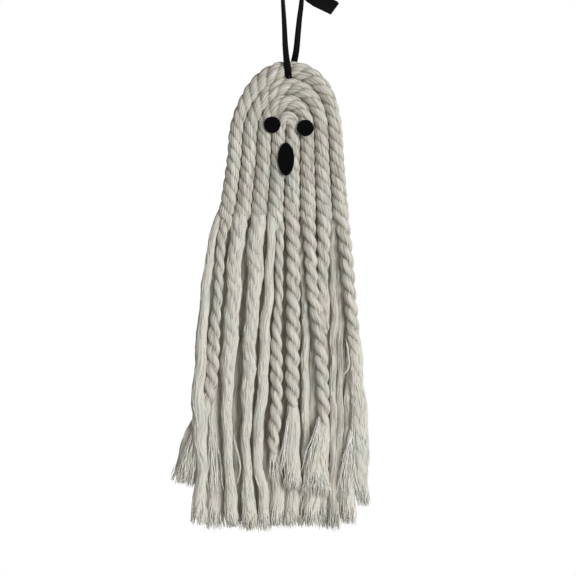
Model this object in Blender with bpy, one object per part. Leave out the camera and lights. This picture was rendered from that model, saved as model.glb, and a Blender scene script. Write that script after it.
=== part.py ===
"""A hanging ghost made of thick cotton rope.

Four lengths of three-strand rope are bent into arches, one inside the other, and glued side by side
down to the neck. Below it the ropes hang free: some stay laid, the others are opened into their
strands, and every end is combed out into a tuft. Two felt dots and a felt oval make the face, and
a black ribbon threaded round the outermost rope hangs it up.

The origin is the point of the ribbon loop that bears on a hook. +Z is up and the face looks to -Y.
"""

import math

import bpy
import numpy as np

# Ropes
ROPE_SPACING = 0.00775  # middle of one rope to middle of the next in the head
CROWN_SPACING = 0.0085  # the same over the crown, where the ropes bulge upwards
RIBBON_LIFT = 0.0009  # how far the ribbon lifts the outermost rope
CLEARANCE = 0.0003  # between pieces that touch
TURN_IN_HEAD = 0.0192  # length of rope in which a strand goes once round, glued down
TURN_IN_SKIRT = 0.0281  # the same where the rope hangs free
BEND_SQUEEZE = 0.85  # the innermost rope's thickness where it doubles back, as a share
RIBBON_SQUEEZE = 0.8  # the two ropes' thickness where the ribbon passes between them, as a share
SQUEEZED_LENGTH = 0.005  # half the length of rope that the ribbon squeezes

# Outline of the ghost
RIBBON_DROP = 0.066  # from the hook to the top of the crown
STRAIGHT_LENGTH = 0.0125  # the upright run below the bends, before the ropes fan out
FAN_LENGTH = 0.035  # from there down to the neck, where the glue ends
NECK_FAN = 0.13  # how much wider than in the head the ropes lie at the neck, as a share
NECK_LEAN = 0.0011  # how far the neck stands to the left of the head
HEAD_SHIFT = 0.0023  # how far the head stands to the left of the hook
HEAD_LEAN = 0.0018  # how far right of the legs' middle line the top of the head stands
LEAN_DROP = 0.007  # the lean begins this far below the bends, and is full LEAN_HEIGHT above that
LEAN_HEIGHT = 0.0347
HEAD_NARROWING = 0.08  # share of its width that the head loses from the legs to the shoulders
NARROWING_HEIGHT = 0.0267
SKIRT_LENGTH = 0.168  # from the neck to the longest ends

# Face
EYE_RADIUS = 0.0044
EYE_APART = 0.0176  # middle to middle
EYE_DROP = 0.0348  # from the crown to the middle of the eyes
EYE_TILT = 0.0017  # how much higher the left eye sits than the right one
MOUTH_WIDTH = 0.0088
MOUTH_HEIGHT = 0.0176
MOUTH_DROP = 0.0523  # from the crown to the middle of the mouth
FELT_THICKNESS = 0.0012

# Hanger and glue
RIBBON_THICKNESS = 0.002  # of the folded ribbon, drawn in to a round cord
RIBBON_WIDTH = 0.0074  # where it lies flat, on the tails
TAIL_THICKNESS = 0.0006
TAIL_LENGTH = 0.022
KNOT_RADIUS = 0.0029
SEAM_THICKNESS = 0.0014  # a bead of glue in the groove between two ropes

# Fineness of the rope surfaces
LAID_STEP = 0.0027
STRAND_STEP = 0.013

NECK_DROP = STRAIGHT_LENGTH + FAN_LENGTH  # below the bends' centre
ROPE_RADIUS = (ROPE_SPACING - CLEARANCE) / 2
CROWN_RADIUS = (CROWN_SPACING - CLEARANCE) / 2
OUTER_RISE = 3.5 * CROWN_SPACING + RIBBON_LIFT
SECOND_RISE = 2.5 * CROWN_SPACING
CROWN_Z = -RIBBON_DROP
BEND_Z = CROWN_Z - CROWN_RADIUS - OUTER_RISE
NECK_Z = BEND_Z - NECK_DROP

COTTON = ("cotton", (0.60, 0.57, 0.49), 0.95)
FELT = ("black felt", (0.012, 0.012, 0.013), 0.95)
RIBBON = ("black ribbon", (0.010, 0.010, 0.012), 0.6)
GLUE = ("hot glue", (0.62, 0.58, 0.45), 0.4)

# A laid rope in section: each strand shows two corners, and a groove lies between strands
THREE_STRANDS = [(math.radians(120 * i + a), r) for i in range(3) for a, r in ((-25, 1), (25, 1), (60, 0.62))]
TWO_STRANDS = [(math.radians(180 * i + a), r) for i in range(2) for a, r in ((-35, 1), (0, 1), (35, 1), (90, 0.5))]
ONE_STRAND = [(math.radians(60 * i), 1) for i in range(6)]
BUNDLE = [(math.radians(45 * i), 1) for i in range(8)]


def clear_scene():
    for thing in list(bpy.data.objects):
        bpy.data.objects.remove(thing)


def finish(piece, look):
    """Shades a piece smooth and gives it a material of its own."""
    name, colour, roughness = look
    material = bpy.data.materials.new(f"{name} of {piece.name}")
    material.use_nodes = True
    shader = material.node_tree.nodes["Principled BSDF"]
    shader.inputs["Base Color"].default_value = (*colour, 1)
    shader.inputs["Roughness"].default_value = roughness
    shader.inputs["Metallic"].default_value = 0
    piece.data.materials.append(material)
    if piece.type == "MESH":
        piece.data.shade_smooth()
        piece.data.set_sharp_from_angle(angle=math.radians(50))


def add_piece(name, points, faces, look):
    mesh = bpy.data.meshes.new(name)
    mesh.from_pydata([tuple(map(float, p)) for p in points], [], faces)
    piece = bpy.data.objects.new(name, mesh)
    bpy.context.scene.collection.objects.link(piece)
    finish(piece, look)
    return piece


def smoothed(rows, step):
    """Rows read every `step` along a smooth curve through the given ones, whose first three
    columns are the place. Each stretch is a Catmull-Rom cubic over the distance run."""
    rows = np.array(rows, float)
    run = np.concatenate([[0], np.cumsum(np.linalg.norm(np.diff(rows[:, :3], axis=0), axis=1))])
    slope = np.gradient(rows, run, axis=0)
    at = np.linspace(0, run[-1], max(3, round(run[-1] / step) + 1))
    i = np.clip(np.searchsorted(run, at, "right") - 1, 0, len(run) - 2)
    span = (run[i + 1] - run[i])[:, None]
    t = (at - run[i])[:, None] / span
    return (
        (2 * t**3 - 3 * t**2 + 1) * rows[i]
        + (t**3 - 2 * t**2 + t) * span * slope[i]
        + (3 * t**2 - 2 * t**3) * rows[i + 1]
        + (t**3 - t**2) * span * slope[i + 1]
    )


def sweep(name, rows, section, look, turn_lengths=None):
    """A closed body: the section carried along rows of (x, y, z, half width, half depth).
    With turn_lengths, one for each row, it turns left-handed as it goes, once in each length."""
    places, half_sizes = rows[:, :3], rows[:, 3:5]
    ahead = np.gradient(places, axis=0)
    ahead /= np.linalg.norm(ahead, axis=1)[:, None]
    across = np.cross((0, 1, 0), ahead)
    across /= np.linalg.norm(across, axis=1)[:, None]
    deep = np.cross(ahead, across)
    turned = np.zeros(len(rows))
    if turn_lengths is not None:
        steps = np.linalg.norm(np.diff(places, axis=0), axis=1)
        turned[1:] = -np.cumsum(2 * math.pi * steps / turn_lengths[1:])
    angle, reach = np.array(section).T
    angle = turned[:, None] + angle[None, :]
    points = (
        places[:, None, :]
        + (reach * np.cos(angle) * half_sizes[:, :1])[..., None] * across[:, None, :]
        + (reach * np.sin(angle) * half_sizes[:, 1:])[..., None] * deep[:, None, :]
    ).reshape(-1, 3)
    n, last = len(section), len(rows) - 1
    faces = [
        (n * k + i, n * k + (i + 1) % n, n * (k + 1) + (i + 1) % n, n * (k + 1) + i)
        for k in range(last)
        for i in range(n)
    ]
    faces.append(tuple(reversed(range(n))))
    faces.append(tuple(n * last + i for i in range(n)))
    return add_piece(name, points, faces, look)


def eased(share):
    """Goes from 0 to 1 with no kink at either end."""
    share = np.clip(share, 0, 1)
    return share**2 * (3 - 2 * share)


def head_middle(z):
    """The head's middle line stands over the legs' and leans to the right towards the top."""
    return -HEAD_SHIFT + HEAD_LEAN * eased((z - BEND_Z + LEAN_DROP) / LEAN_HEIGHT)


def head_share(z):
    """The head's width at a height, as a share of its width at the legs: it narrows upwards."""
    return 1 - HEAD_NARROWING * eased((z - BEND_Z + STRAIGHT_LENGTH) / NARROWING_HEIGHT)


def crown_top(rise):
    """The highest point of the arch that rises so far above the bends' centre."""
    return (head_middle(BEND_Z + rise), 0, BEND_Z + rise)


def leg_x(lane, below_bend):
    """Where a rope stands across the ghost. Lanes count rope spacings from the head's middle.
    The ropes stand upright, then fan out down to the neck."""
    fanned = np.clip((below_bend - STRAIGHT_LENGTH) / FAN_LENGTH, 0, 1) ** 1.2
    z = BEND_Z - below_bend
    return head_middle(z) - NECK_LEAN * fanned + lane * ROPE_SPACING * head_share(z) * (1 + NECK_FAN * fanned)


def leg_radius(below_bend):
    """Half of a rope's share of the width there, less its half of the clearance."""
    return (leg_x(1, below_bend) - leg_x(0, below_bend) - CLEARANCE) / 2


def crown_radius(turn, z):
    """A rope's radius on its way over the crown: it swells from the sides to the top."""
    side = (ROPE_SPACING * head_share(z) - CLEARANCE) / 2
    return side + (CROWN_RADIUS - side) * math.sin(turn) ** 2


def arch_rows(lane, rise, left_end, right_end):
    """The glued part of the rope that stands `lane` spacings out on both sides: up the left leg,
    round the crown as half an ellipse, narrowed and leant with the head, and down the right leg.
    The ends are below the bend."""
    rows = []
    for down in np.linspace(left_end, 0, 12)[:-1]:
        rows.append((leg_x(-lane, down), 0, BEND_Z - down, leg_radius(down), leg_radius(down)))
    width = lane * ROPE_SPACING
    lift = max(0, rise - width) if lane < 1 else 0
    for turn in np.linspace(math.pi, 0, 17):
        up = BEND_Z + lift + (rise - lift) * math.sin(turn)
        across = head_middle(up) + width * head_share(up) * math.cos(turn)
        rows.append((across, 0, up, crown_radius(turn, up), crown_radius(turn, up)))
    for down in np.linspace(0, right_end, 12)[1:]:
        rows.append((leg_x(lane, down), 0, BEND_Z - down, leg_radius(down), leg_radius(down)))
    return rows


def skirt_rows(route, depth_share):
    """Rows for a strand or rope below the neck. A route lists (fall, lane, depth, width): the fall
    as a share of the skirt, the others in rope spacings. It is depth_share as deep as it is wide."""
    return [
        (
            -HEAD_SHIFT + lane * ROPE_SPACING,
            depth * ROPE_SPACING,
            NECK_Z - fall * SKIRT_LENGTH,
            width * ROPE_SPACING / 2,
            depth_share * width * ROPE_SPACING / 2,
        )
        for fall, lane, depth, width in route
    ]


def narrowed(rows, where, half_length, share):
    """Thins the rows of a rope to `share` at a place, easing off over half_length."""
    rows = np.array(rows)
    away = np.linalg.norm(rows[:, :3] - np.array(where), axis=1)
    rows[:, 3:5] *= (1 - (1 - share) * np.exp(-((away / half_length) ** 2)))[:, None]
    return rows


def turn_lengths(rows):
    """One turn of a strand is longer below the neck, where no glue holds the lay tight."""
    loosened = np.clip((NECK_Z - rows[:, 2]) / (3 * ROPE_SPACING), 0, 1)
    return TURN_IN_HEAD + (TURN_IN_SKIRT - TURN_IN_HEAD) * loosened


def laid_rope(name, rows):
    rows = smoothed(rows, LAID_STEP)
    return sweep(name, rows, THREE_STRANDS, COTTON, turn_lengths(rows))


def strand(name, route):
    """One strand, opened out of the rope."""
    return sweep(name, smoothed(skirt_rows(route, 0.8), STRAND_STEP), ONE_STRAND, COTTON)


def bundle(name, route, depth_share=0.62):
    """Strands hanging side by side with no lay left, or the tuft of yarns at an end."""
    return sweep(name, smoothed(skirt_rows(route, depth_share), STRAND_STEP), BUNDLE, COTTON)


def pair(name, route):
    """Two strands still laid round each other."""
    rows = smoothed(skirt_rows(route, 0.9), 1.3 * LAID_STEP)
    return sweep(name, rows, TWO_STRANDS, COTTON, turn_lengths(rows))


def unite(rope, strands):
    """Makes the opened strands one body with the rope that they come out of."""
    for part in strands:
        union = rope.modifiers.new(part.name, "BOOLEAN")
        union.operation = "UNION"
        union.solver = "EXACT"
        union.object = part
        part.hide_render = True
        part.display_type = "WIRE"


def outer_rope():
    rows = arch_rows(3.5, OUTER_RISE, NECK_DROP, NECK_DROP)
    rows = narrowed(rows, crown_top(OUTER_RISE), SQUEEZED_LENGTH, RIBBON_SQUEEZE)
    right = [(0.06, 4.04, 0, 0.95), (0.14, 4.22, 0, 0.94), (0.27, 4.46, 0, 0.9), (0.38, 4.69, 0, 0.85)]
    rope = laid_rope("rope_outer", [*rows, *skirt_rows(right, 1)])
    left_strand = [
        (-0.02, -4.15, -0.05, 0.5), (0.05, -4.86, 0, 0.5), (0.14, -5.24, 0, 0.54), (0.27, -5.56, 0, 0.68),
        (0.43, -5.85, 0, 0.76), (0.54, -6.04, 0.1, 0.77), (0.62, -6.23, 0.25, 0.77), (0.68, -6.53, 0.4, 0.8),
        (0.75, -6.85, 0.45, 0.98), (0.81, -7.07, 0.45, 1.42), (0.85, -7.11, 0.45, 1.72),
    ]
    left_pair = [
        (-0.02, -3.98, 0, 0.65), (0.05, -4.34, 0, 0.63), (0.17, -4.55, 0, 0.63), (0.27, -4.68, 0, 0.63),
        (0.33, -4.84, 0, 0.7), (0.43, -4.98, 0, 0.88), (0.55, -5.2, 0, 0.88), (0.62, -5.52, -0.05, 0.9),
        (0.68, -5.87, -0.05, 1), (0.76, -5.83, -0.05, 0.82),
    ]
    left_tuft = [(0.73, -5.84, -0.05, 0.85), (0.81, -5.77, 0, 0.77), (0.89, -5.92, 0, 0.97), (0.98, -6.03, 0, 1.1)]
    right_bundle = [
        (0.36, 4.66, 0, 0.7), (0.43, 4.83, 0, 0.81), (0.52, 4.9, 0, 0.95), (0.59, 4.99, 0, 1.11),
        (0.68, 5.11, 0, 1.29), (0.8, 5.1, 0, 1.21), (0.87, 5.23, 0, 0.98), (0.92, 5.29, 0, 0.85),
    ]
    right_inner = [
        (0.36, 4.62, 0.13, 0.52), (0.45, 4.5, 0.39, 0.57), (0.55, 4.41, 0.45, 0.62), (0.7, 4.37, 0.39, 0.72),
        (0.82, 4.4, 0.26, 0.83), (0.92, 4.43, 0.19, 0.85), (0.98, 4.42, 0.13, 0.93),
    ]
    unite(rope, [
        strand("outer_left_strand", left_strand),
        pair("outer_left_pair", left_pair),
        bundle("outer_left_tuft", left_tuft),
        bundle("outer_right_bundle", right_bundle, 0.5),
        strand("outer_right_inner", right_inner),
    ])


def second_rope():
    rows = arch_rows(2.5, SECOND_RISE, NECK_DROP + 0.2 * ROPE_SPACING, NECK_DROP)
    rows = narrowed(rows, crown_top(SECOND_RISE), SQUEEZED_LENGTH, RIBBON_SQUEEZE)
    rope = laid_rope("rope_second", rows)
    left_bundle = [
        (-0.04, -2.94, 0, 0.71), (0.02, -3.15, 0, 0.84), (0.08, -3.39, 0, 1), (0.14, -3.55, 0, 0.94),
        (0.27, -3.59, 0, 1.03), (0.36, -3.78, 0, 1.06), (0.49, -3.94, 0, 0.98), (0.55, -4.04, 0, 0.8),
        (0.65, -4.03, 0, 0.72), (0.81, -3.88, 0, 0.67), (0.89, -3.78, 0, 0.84), (0.99, -3.65, 0, 1.03),
    ]
    left_back = [
        (0.12, -3.5, 0.15, 0.45), (0.24, -3.72, 0.58, 0.55), (0.35, -4.04, 0.84, 0.58), (0.49, -4.62, 0.9, 0.65),
        (0.64, -4.88, 0.88, 0.77), (0.77, -4.98, 0.85, 0.93), (0.89, -4.9, 0.85, 1.2), (0.99, -4.78, 0.75, 1.4),
    ]
    right_front = [
        (-0.04, 2.83, -0.06, 0.65), (0.02, 2.64, -0.06, 0.66), (0.08, 2.68, -0.06, 0.8), (0.14, 2.72, -0.02, 0.74),
        (0.19, 2.66, 0, 0.6), (0.24, 2.68, 0.13, 0.58), (0.27, 2.76, 0.38, 0.56), (0.3, 2.83, 0.65, 0.56),
        (0.36, 2.93, 0.78, 0.58), (0.46, 3.06, 0.82, 0.62), (0.58, 3.23, 0.8, 0.65), (0.7, 3.19, 0.82, 0.7),
        (0.82, 2.95, 0.9, 0.8), (0.92, 2.85, 0.82, 0.94), (1, 2.85, 0.7, 1.02),
    ]
    right_side = [
        (-0.04, 2.95, 0.1, 0.5), (0.08, 3.24, 0.1, 0.44), (0.15, 3.35, 0.06, 0.47), (0.27, 3.54, 0, 0.58),
        (0.36, 3.46, -0.04, 0.7), (0.43, 3.42, -0.04, 0.7), (0.55, 3.45, -0.04, 0.7), (0.7, 3.46, -0.03, 0.74),
        (0.79, 3.49, 0, 0.78), (0.89, 3.49, 0, 0.82), (0.99, 3.4, 0, 0.86),
    ]
    unite(rope, [
        bundle("second_left_bundle", left_bundle),
        strand("second_left_back", left_back),
        strand("second_right_front", right_front),
        strand("second_right_side", right_side),
    ])


def third_rope():
    rows = arch_rows(1.5, 1.5 * CROWN_SPACING, NECK_DROP + 0.2 * ROPE_SPACING, NECK_DROP)
    right = [
        (0.08, 1.68, 0, 0.94), (0.14, 1.74, 0, 0.84), (0.2, 1.81, 0, 0.8), (0.24, 1.87, 0, 0.8), (0.3, 2.09, 0, 0.92),
        (0.36, 2.31, 0, 0.98), (0.43, 2.41, 0, 0.92), (0.49, 2.51, 0, 0.86), (0.55, 2.58, 0, 0.81),
        (0.62, 2.63, 0, 0.8), (0.68, 2.57, 0, 0.77),
    ]
    rope = laid_rope("rope_third", [*rows, *skirt_rows(right, 1)])
    left_bundle = [
        (-0.04, -1.84, 0, 0.77), (0.04, -1.95, 0, 1.06), (0.11, -2.08, 0, 1.12), (0.17, -2.09, 0, 1.1),
        (0.24, -2.18, 0, 0.93), (0.36, -2.43, 0, 0.93), (0.49, -2.53, 0, 0.92), (0.55, -2.61, 0, 0.9),
        (0.62, -2.68, 0, 0.7), (0.68, -2.72, 0, 0.64), (0.74, -2.73, 0, 0.6), (0.84, -2.62, 0, 0.65),
        (0.9, -2.56, 0, 0.8), (0.98, -2.54, 0, 1.08),
    ]
    front_tuft = [
        (0.65, 2.6, 0, 0.7), (0.7, 2.46, -0.04, 0.93), (0.75, 2.28, -0.06, 1.22), (0.81, 2.13, -0.06, 1.56),
        (0.89, 2.05, -0.06, 1.82),
    ]
    left_of_rope = [
        (0.2, 1.79, 0.15, 0.5), (0.3, 1.59, 0.39, 0.53), (0.38, 1.41, 0.44, 0.54), (0.46, 1.36, 0.39, 0.55),
        (0.58, 1.36, 0.36, 0.55), (0.7, 1.4, 0.36, 0.53), (0.79, 1.37, 0.42, 0.46), (0.85, 1.34, 0.46, 0.28),
    ]
    back_tuft = [
        (0.62, 2.6, 0.15, 0.54), (0.73, 2.28, 0.5, 0.65), (0.82, 1.92, 0.66, 0.8), (0.91, 1.68, 0.67, 0.98),
        (0.99, 1.56, 0.59, 1.15),
    ]
    unite(rope, [
        bundle("third_left_bundle", left_bundle),
        bundle("third_front_tuft", front_tuft, 0.36),
        strand("third_left_of_rope", left_of_rope),
        strand("third_back_tuft", back_tuft),
    ])


def inner_rope():
    rows = arch_rows(0.5, 0.5 * CROWN_SPACING, NECK_DROP + 0.2 * ROPE_SPACING, NECK_DROP)
    rows = narrowed(rows, crown_top(0.5 * CROWN_SPACING), ROPE_SPACING, BEND_SQUEEZE)
    right = [
        (0.08, 0.52, 0, 0.99), (0.27, 0.52, 0, 0.99), (0.43, 0.49, 0, 0.98), (0.49, 0.46, 0, 0.98),
        (0.58, 0.47, 0, 0.9), (0.62, 0.48, 0, 0.77),
    ]
    rope = laid_rope("rope_inner", [*rows, *skirt_rows(right, 1)])
    left_strand = [
        (-0.04, -0.79, -0.06, 0.52), (0.05, -0.97, 0, 0.5), (0.11, -1.05, 0, 0.56), (0.24, -1.15, 0, 0.66),
        (0.36, -1.41, 0, 0.67), (0.49, -1.51, 0, 0.7), (0.55, -1.58, 0, 0.72), (0.62, -1.76, 0, 0.72),
        (0.68, -1.86, 0, 0.68), (0.74, -1.94, 0, 0.62), (0.81, -1.83, 0, 0.64), (0.87, -1.59, 0, 0.67),
        (0.98, -1.41, 0, 0.7),
    ]
    left_pair = [
        (-0.04, -0.6, 0.06, 0.65), (0.08, -0.41, 0, 0.55), (0.14, -0.45, 0, 0.52), (0.27, -0.46, 0, 0.53),
        (0.33, -0.58, 0, 0.59), (0.4, -0.63, 0, 0.74), (0.46, -0.63, 0, 0.86), (0.52, -0.63, 0, 0.86),
        (0.59, -0.62, 0, 0.77), (0.65, -0.72, 0, 0.88), (0.71, -0.85, 0.04, 0.77), (0.77, -0.81, 0.13, 0.57),
    ]
    left_tuft = [(0.75, -0.82, 0.1, 0.5), (0.83, -0.68, 0.26, 0.65), (0.9, -0.62, 0.39, 0.8), (0.99, -0.59, 0.39, 0.85)]
    front_tuft = [
        (0.59, 0.47, 0, 0.71), (0.64, 0.54, -0.04, 0.81), (0.73, 0.54, -0.06, 0.85), (0.8, 0.48, -0.06, 0.98),
        (0.87, 0.4, -0.06, 1.15),
    ]
    back_tuft = [
        (0.6, 0.5, 0.13, 0.58), (0.69, 0.53, 0.39, 0.65), (0.77, 0.5, 0.54, 0.72), (0.88, 0.48, 0.59, 0.85),
        (0.99, 0.45, 0.52, 0.98),
    ]
    unite(rope, [
        strand("inner_left_strand", left_strand),
        pair("inner_left_pair", left_pair),
        strand("inner_left_tuft", left_tuft),
        bundle("inner_front_tuft", front_tuft, 0.5),
        strand("inner_back_tuft", back_tuft),
    ])


def felt_shape(name, across, drop, half_width, half_height, point=0):
    """A flat felt shape on the front of the ropes. `point` draws its top in to a soft point."""
    turns = np.linspace(0, 2 * math.pi, 24, endpoint=False)
    pull = 1 - point * np.clip(np.sin(turns), 0, 1) ** 2
    xs = across + half_width * pull * np.cos(turns)
    zs = CROWN_Z - drop + half_height * np.sin(turns)
    back = -(ROPE_RADIUS + CLEARANCE)
    n = len(turns)
    points = [(x, y, z) for y in (back - FELT_THICKNESS, back) for x, z in zip(xs, zs)]
    faces = [(i, i + n, (i + 1) % n + n, (i + 1) % n) for i in range(n)]
    faces += [tuple(range(n)), tuple(reversed(range(n, 2 * n)))]
    return add_piece(name, points, faces, FELT)


def face():
    middle = leg_x(0, 0) + 0.0015
    felt_shape("left_eye", middle - EYE_APART / 2, EYE_DROP - EYE_TILT / 2, EYE_RADIUS, EYE_RADIUS)
    felt_shape("right_eye", middle + EYE_APART / 2, EYE_DROP + EYE_TILT / 2, EYE_RADIUS, EYE_RADIUS)
    felt_shape("mouth", middle - 0.0015, MOUTH_DROP, MOUTH_WIDTH / 2, MOUTH_HEIGHT / 2, point=0.12)


def hanging_ribbon():
    """The ribbon's route, chosen by hand: from the knot over the hook, down the front of the
    outermost rope, under it, up its back and so to the knot again."""
    mm = 0.001
    rope_z = (BEND_Z + OUTER_RISE) / mm
    under_z = (BEND_Z + (OUTER_RISE + SECOND_RISE) / 2) / mm
    round_rope = (RIBBON_SQUEEZE * CROWN_RADIUS + CLEARANCE + RIBBON_THICKNESS / 2) / mm + 0.25
    route = [
        (6.2, 0, -27.0), (6.6, 0, -22.0), (6.5, 0, -14.0), (5.3, 0, -7.0), (3.1, 0, -1.8), (0, 0, 1.0),
        (-2.8, 0, -1.6), (-4.4, 0, -7.0), (-4.7, 0, -15.0), (-4.3, 0, -25.0), (-3.8, -0.2, -34.0),
        (-3.1, -0.8, -46.0), (-2.6, -2.2, -57.0), (-2.0, -3.8, -64.0), (-1.3, -round_rope, rope_z),
        (-0.8, -0.78 * round_rope, 0.35 * rope_z + 0.65 * under_z), (-0.4, 0, under_z),
        (0.3, 0.78 * round_rope, 0.35 * rope_z + 0.65 * under_z), (1.3, round_rope, rope_z),
        (2.2, 3.9, -64.6), (2.9, 2.4, -60.0), (3.8, 1.0, -52.0), (5.0, 0.3, -43.0), (6.0, 0, -35.0), (6.2, 0, -32.2),
    ]
    fine = smoothed([(x * mm, y * mm, z * mm) for x, y, z in route], 0.0013)
    in_bend = np.linalg.norm(fine - (0, 0, rope_z * mm), axis=1) < 1.2 * ROPE_SPACING
    in_bend |= fine[:, 2] > -0.9 * ROPE_SPACING
    count = np.arange(len(fine))
    kept = (count % 4 == 0) | (in_bend & (count % 2 == 0)) | (count == len(fine) - 1)
    points = fine[kept]
    curve = bpy.data.curves.new("hanging_ribbon", "CURVE")
    curve.dimensions = "3D"
    curve.bevel_depth = RIBBON_THICKNESS / 2
    curve.bevel_resolution = 2
    curve.use_fill_caps = True
    line = curve.splines.new("POLY")
    line.points.add(len(points) - 1)
    for point, place in zip(line.points, points):
        point.co = (*place, 1)
    ribbon = bpy.data.objects.new("hanging_ribbon", curve)
    bpy.context.scene.collection.objects.link(ribbon)
    finish(ribbon, RIBBON)


def knot():
    """An overhand knot where the ribbon's two ends meet, drawn as a lump with a flat tail."""
    at = np.array((0.0062, 0, -0.0296))
    height = 0.0023
    lumps = [(-1, 0.5), (-0.6, 0.85), (0, 1), (0.6, 0.85), (1, 0.5)]
    rows = [(at[0], at[1], at[2] + height * up, KNOT_RADIUS * r, 0.8 * KNOT_RADIUS * r) for up, r in lumps]
    lump = sweep("ribbon_knot", np.array(rows), BUNDLE, RIBBON)
    half = RIBBON_WIDTH / 2
    start, ahead = at + (0.001, 0, -0.0006), np.array((0.942, 0, -0.336))
    side = np.array((-ahead[2], 0, ahead[0]))
    outline = [
        (0, 0.35 * half), (0.15, 0.75 * half), (0.35, half), (1.06, half),
        (0.94, -half), (0.35, -half), (0.15, -0.75 * half), (0, -0.35 * half),
    ]
    points = [
        start + ahead * along * TAIL_LENGTH + side * wide + np.array((0, y, 0))
        for y in (-TAIL_THICKNESS / 2, TAIL_THICKNESS / 2)
        for along, wide in outline
    ]
    n = len(outline)
    faces = [(i, (i + 1) % n, (i + 1) % n + n, i + n) for i in range(n)]
    faces += [tuple(reversed(range(n))), tuple(range(n, 2 * n))]
    unite(lump, [add_piece("ribbon_tail", points, faces, RIBBON)])


def glue_seam(name, lane, rise, turn_from, turn_to, left_end=0, right_end=0):
    """A bead of glue in the groove at the back between two ropes, whose middle line runs at `lane`
    spacings out. It starts at turn_from on the crown, or left_end below the bends, and so on."""
    half = SEAM_THICKNESS / 2

    def bead(x, z, radius):
        apart = radius + CLEARANCE / 2
        depth = math.sqrt((radius + CLEARANCE + half) ** 2 - apart**2) + CLEARANCE
        return (x, depth, z, half, half)

    rows = []
    for down in np.linspace(left_end, 0, 6)[:-1] if left_end else []:
        rows.append(bead(leg_x(-lane, down), BEND_Z - down, leg_radius(down)))
    for turn in np.linspace(turn_from, turn_to, 13) if lane else []:
        z = BEND_Z + rise * math.sin(turn)
        x = head_middle(z) + lane * ROPE_SPACING * head_share(z) * math.cos(turn)
        rows.append(bead(x, z, crown_radius(turn, z)))
    for down in np.linspace(0, right_end, 6)[1 if lane else 0:] if right_end else []:
        rows.append(bead(leg_x(lane, down), BEND_Z - down, leg_radius(down)))
    section = [(math.radians(72 * i), 1) for i in range(5)]
    return sweep(name, smoothed(rows, 0.007), section, GLUE)


def glue_seams():
    end = NECK_DROP - 0.004
    glue_seam("glue_seam_outer_left", 3, 3 * CROWN_SPACING + RIBBON_LIFT / 2, math.pi, 0.62 * math.pi, left_end=end)
    glue_seam("glue_seam_outer_right", 3, 3 * CROWN_SPACING + RIBBON_LIFT / 2, 0.38 * math.pi, 0, right_end=end)
    glue_seam("glue_seam_second", 2, 2 * CROWN_SPACING, math.pi, 0, left_end=end, right_end=end)
    glue_seam("glue_seam_third", 1, CROWN_SPACING, math.pi, 0, left_end=end, right_end=end)
    glue_seam("glue_seam_middle", 0, 0, 0, 0, right_end=end)


clear_scene()
outer_rope()
second_rope()
third_rope()
inner_rope()
face()
hanging_ribbon()
knot()
glue_seams()
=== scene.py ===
"""Looks of the hanging rope ghost: a folded black ribbon, four cotton ropes with opened ends, a felt
face and the glue at the back. Everything is in metres, +Z up, and the face looks to -Y."""

import math

import bpy
import numpy as np
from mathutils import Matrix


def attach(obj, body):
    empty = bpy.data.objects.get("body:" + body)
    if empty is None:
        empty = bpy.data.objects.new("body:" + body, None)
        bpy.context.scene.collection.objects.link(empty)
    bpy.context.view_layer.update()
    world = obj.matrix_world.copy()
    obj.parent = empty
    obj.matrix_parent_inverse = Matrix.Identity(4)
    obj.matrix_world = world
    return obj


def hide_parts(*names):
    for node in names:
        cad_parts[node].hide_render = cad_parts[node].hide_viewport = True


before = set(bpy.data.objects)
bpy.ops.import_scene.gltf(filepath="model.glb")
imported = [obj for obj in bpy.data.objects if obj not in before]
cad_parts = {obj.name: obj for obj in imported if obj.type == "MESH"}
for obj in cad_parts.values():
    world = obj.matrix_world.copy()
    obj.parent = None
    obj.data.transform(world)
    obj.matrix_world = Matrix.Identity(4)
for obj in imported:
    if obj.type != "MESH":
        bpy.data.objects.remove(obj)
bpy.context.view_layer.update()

# Camera. It stands straight in front of the ghost, level with the middle of the picture, and the
# picture's frame cuts the ribbon above the head.
PICTURE_WIDTH = 0.3072
PICTURE_MIDDLE = (-0.00107, -0.1868)  # x and z
CAMERA_AWAY = 0.95

camera = bpy.data.objects.new("camera", bpy.data.cameras.new("camera"))
camera.data.lens = camera.data.sensor_width * CAMERA_AWAY / PICTURE_WIDTH
camera.location = (PICTURE_MIDDLE[0], -CAMERA_AWAY, PICTURE_MIDDLE[1])
camera.rotation_euler = (math.pi / 2, 0, 0)
bpy.context.scene.collection.objects.link(camera)
bpy.context.scene.camera = camera


# Hanging ribbon: a 7 mm black satin ribbon, folded lengthwise and pulled taut. It goes over the
# hook, down in front of the outermost rope, under it between the two top ropes, and up again.
RIBBON_FOLDED = 0.0034  # width once folded
RIBBON_LAYERS = 0.0012  # its thickness there
ROPE_SPACING = 0.00775  # between the middles of two ropes at the sides of the head
CROWN_SPACING = 0.0085  # the same up the middle of the crown
CLEARANCE = 0.0003  # between two ropes of the CAD
RIBBON_LIFT = 0.0009  # how far the ribbon lifts the outermost rope
RIBBON_SQUEEZE = 0.8  # share of the crown's radius round which the ribbon turns
RIBBON_DROP = 0.066  # from the hook to the top of the crown
ROPE_RADIUS = (ROPE_SPACING - CLEARANCE) / 2
CROWN_RADIUS = (CROWN_SPACING - CLEARANCE) / 2
OUTER_RISE = 3.5 * CROWN_SPACING + RIBBON_LIFT
SECOND_RISE = 2.5 * CROWN_SPACING
BEND_Z = -RIBBON_DROP - CROWN_RADIUS - OUTER_RISE


def linear(code):
    """The linear colour of an sRGB hex code."""
    shares = np.array([int(code[i : i + 2], 16) for i in (1, 3, 5)]) / 255
    return (*np.where(shares <= 0.04045, shares / 12.92, ((shares + 0.055) / 1.055) ** 2.4), 1)


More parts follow.
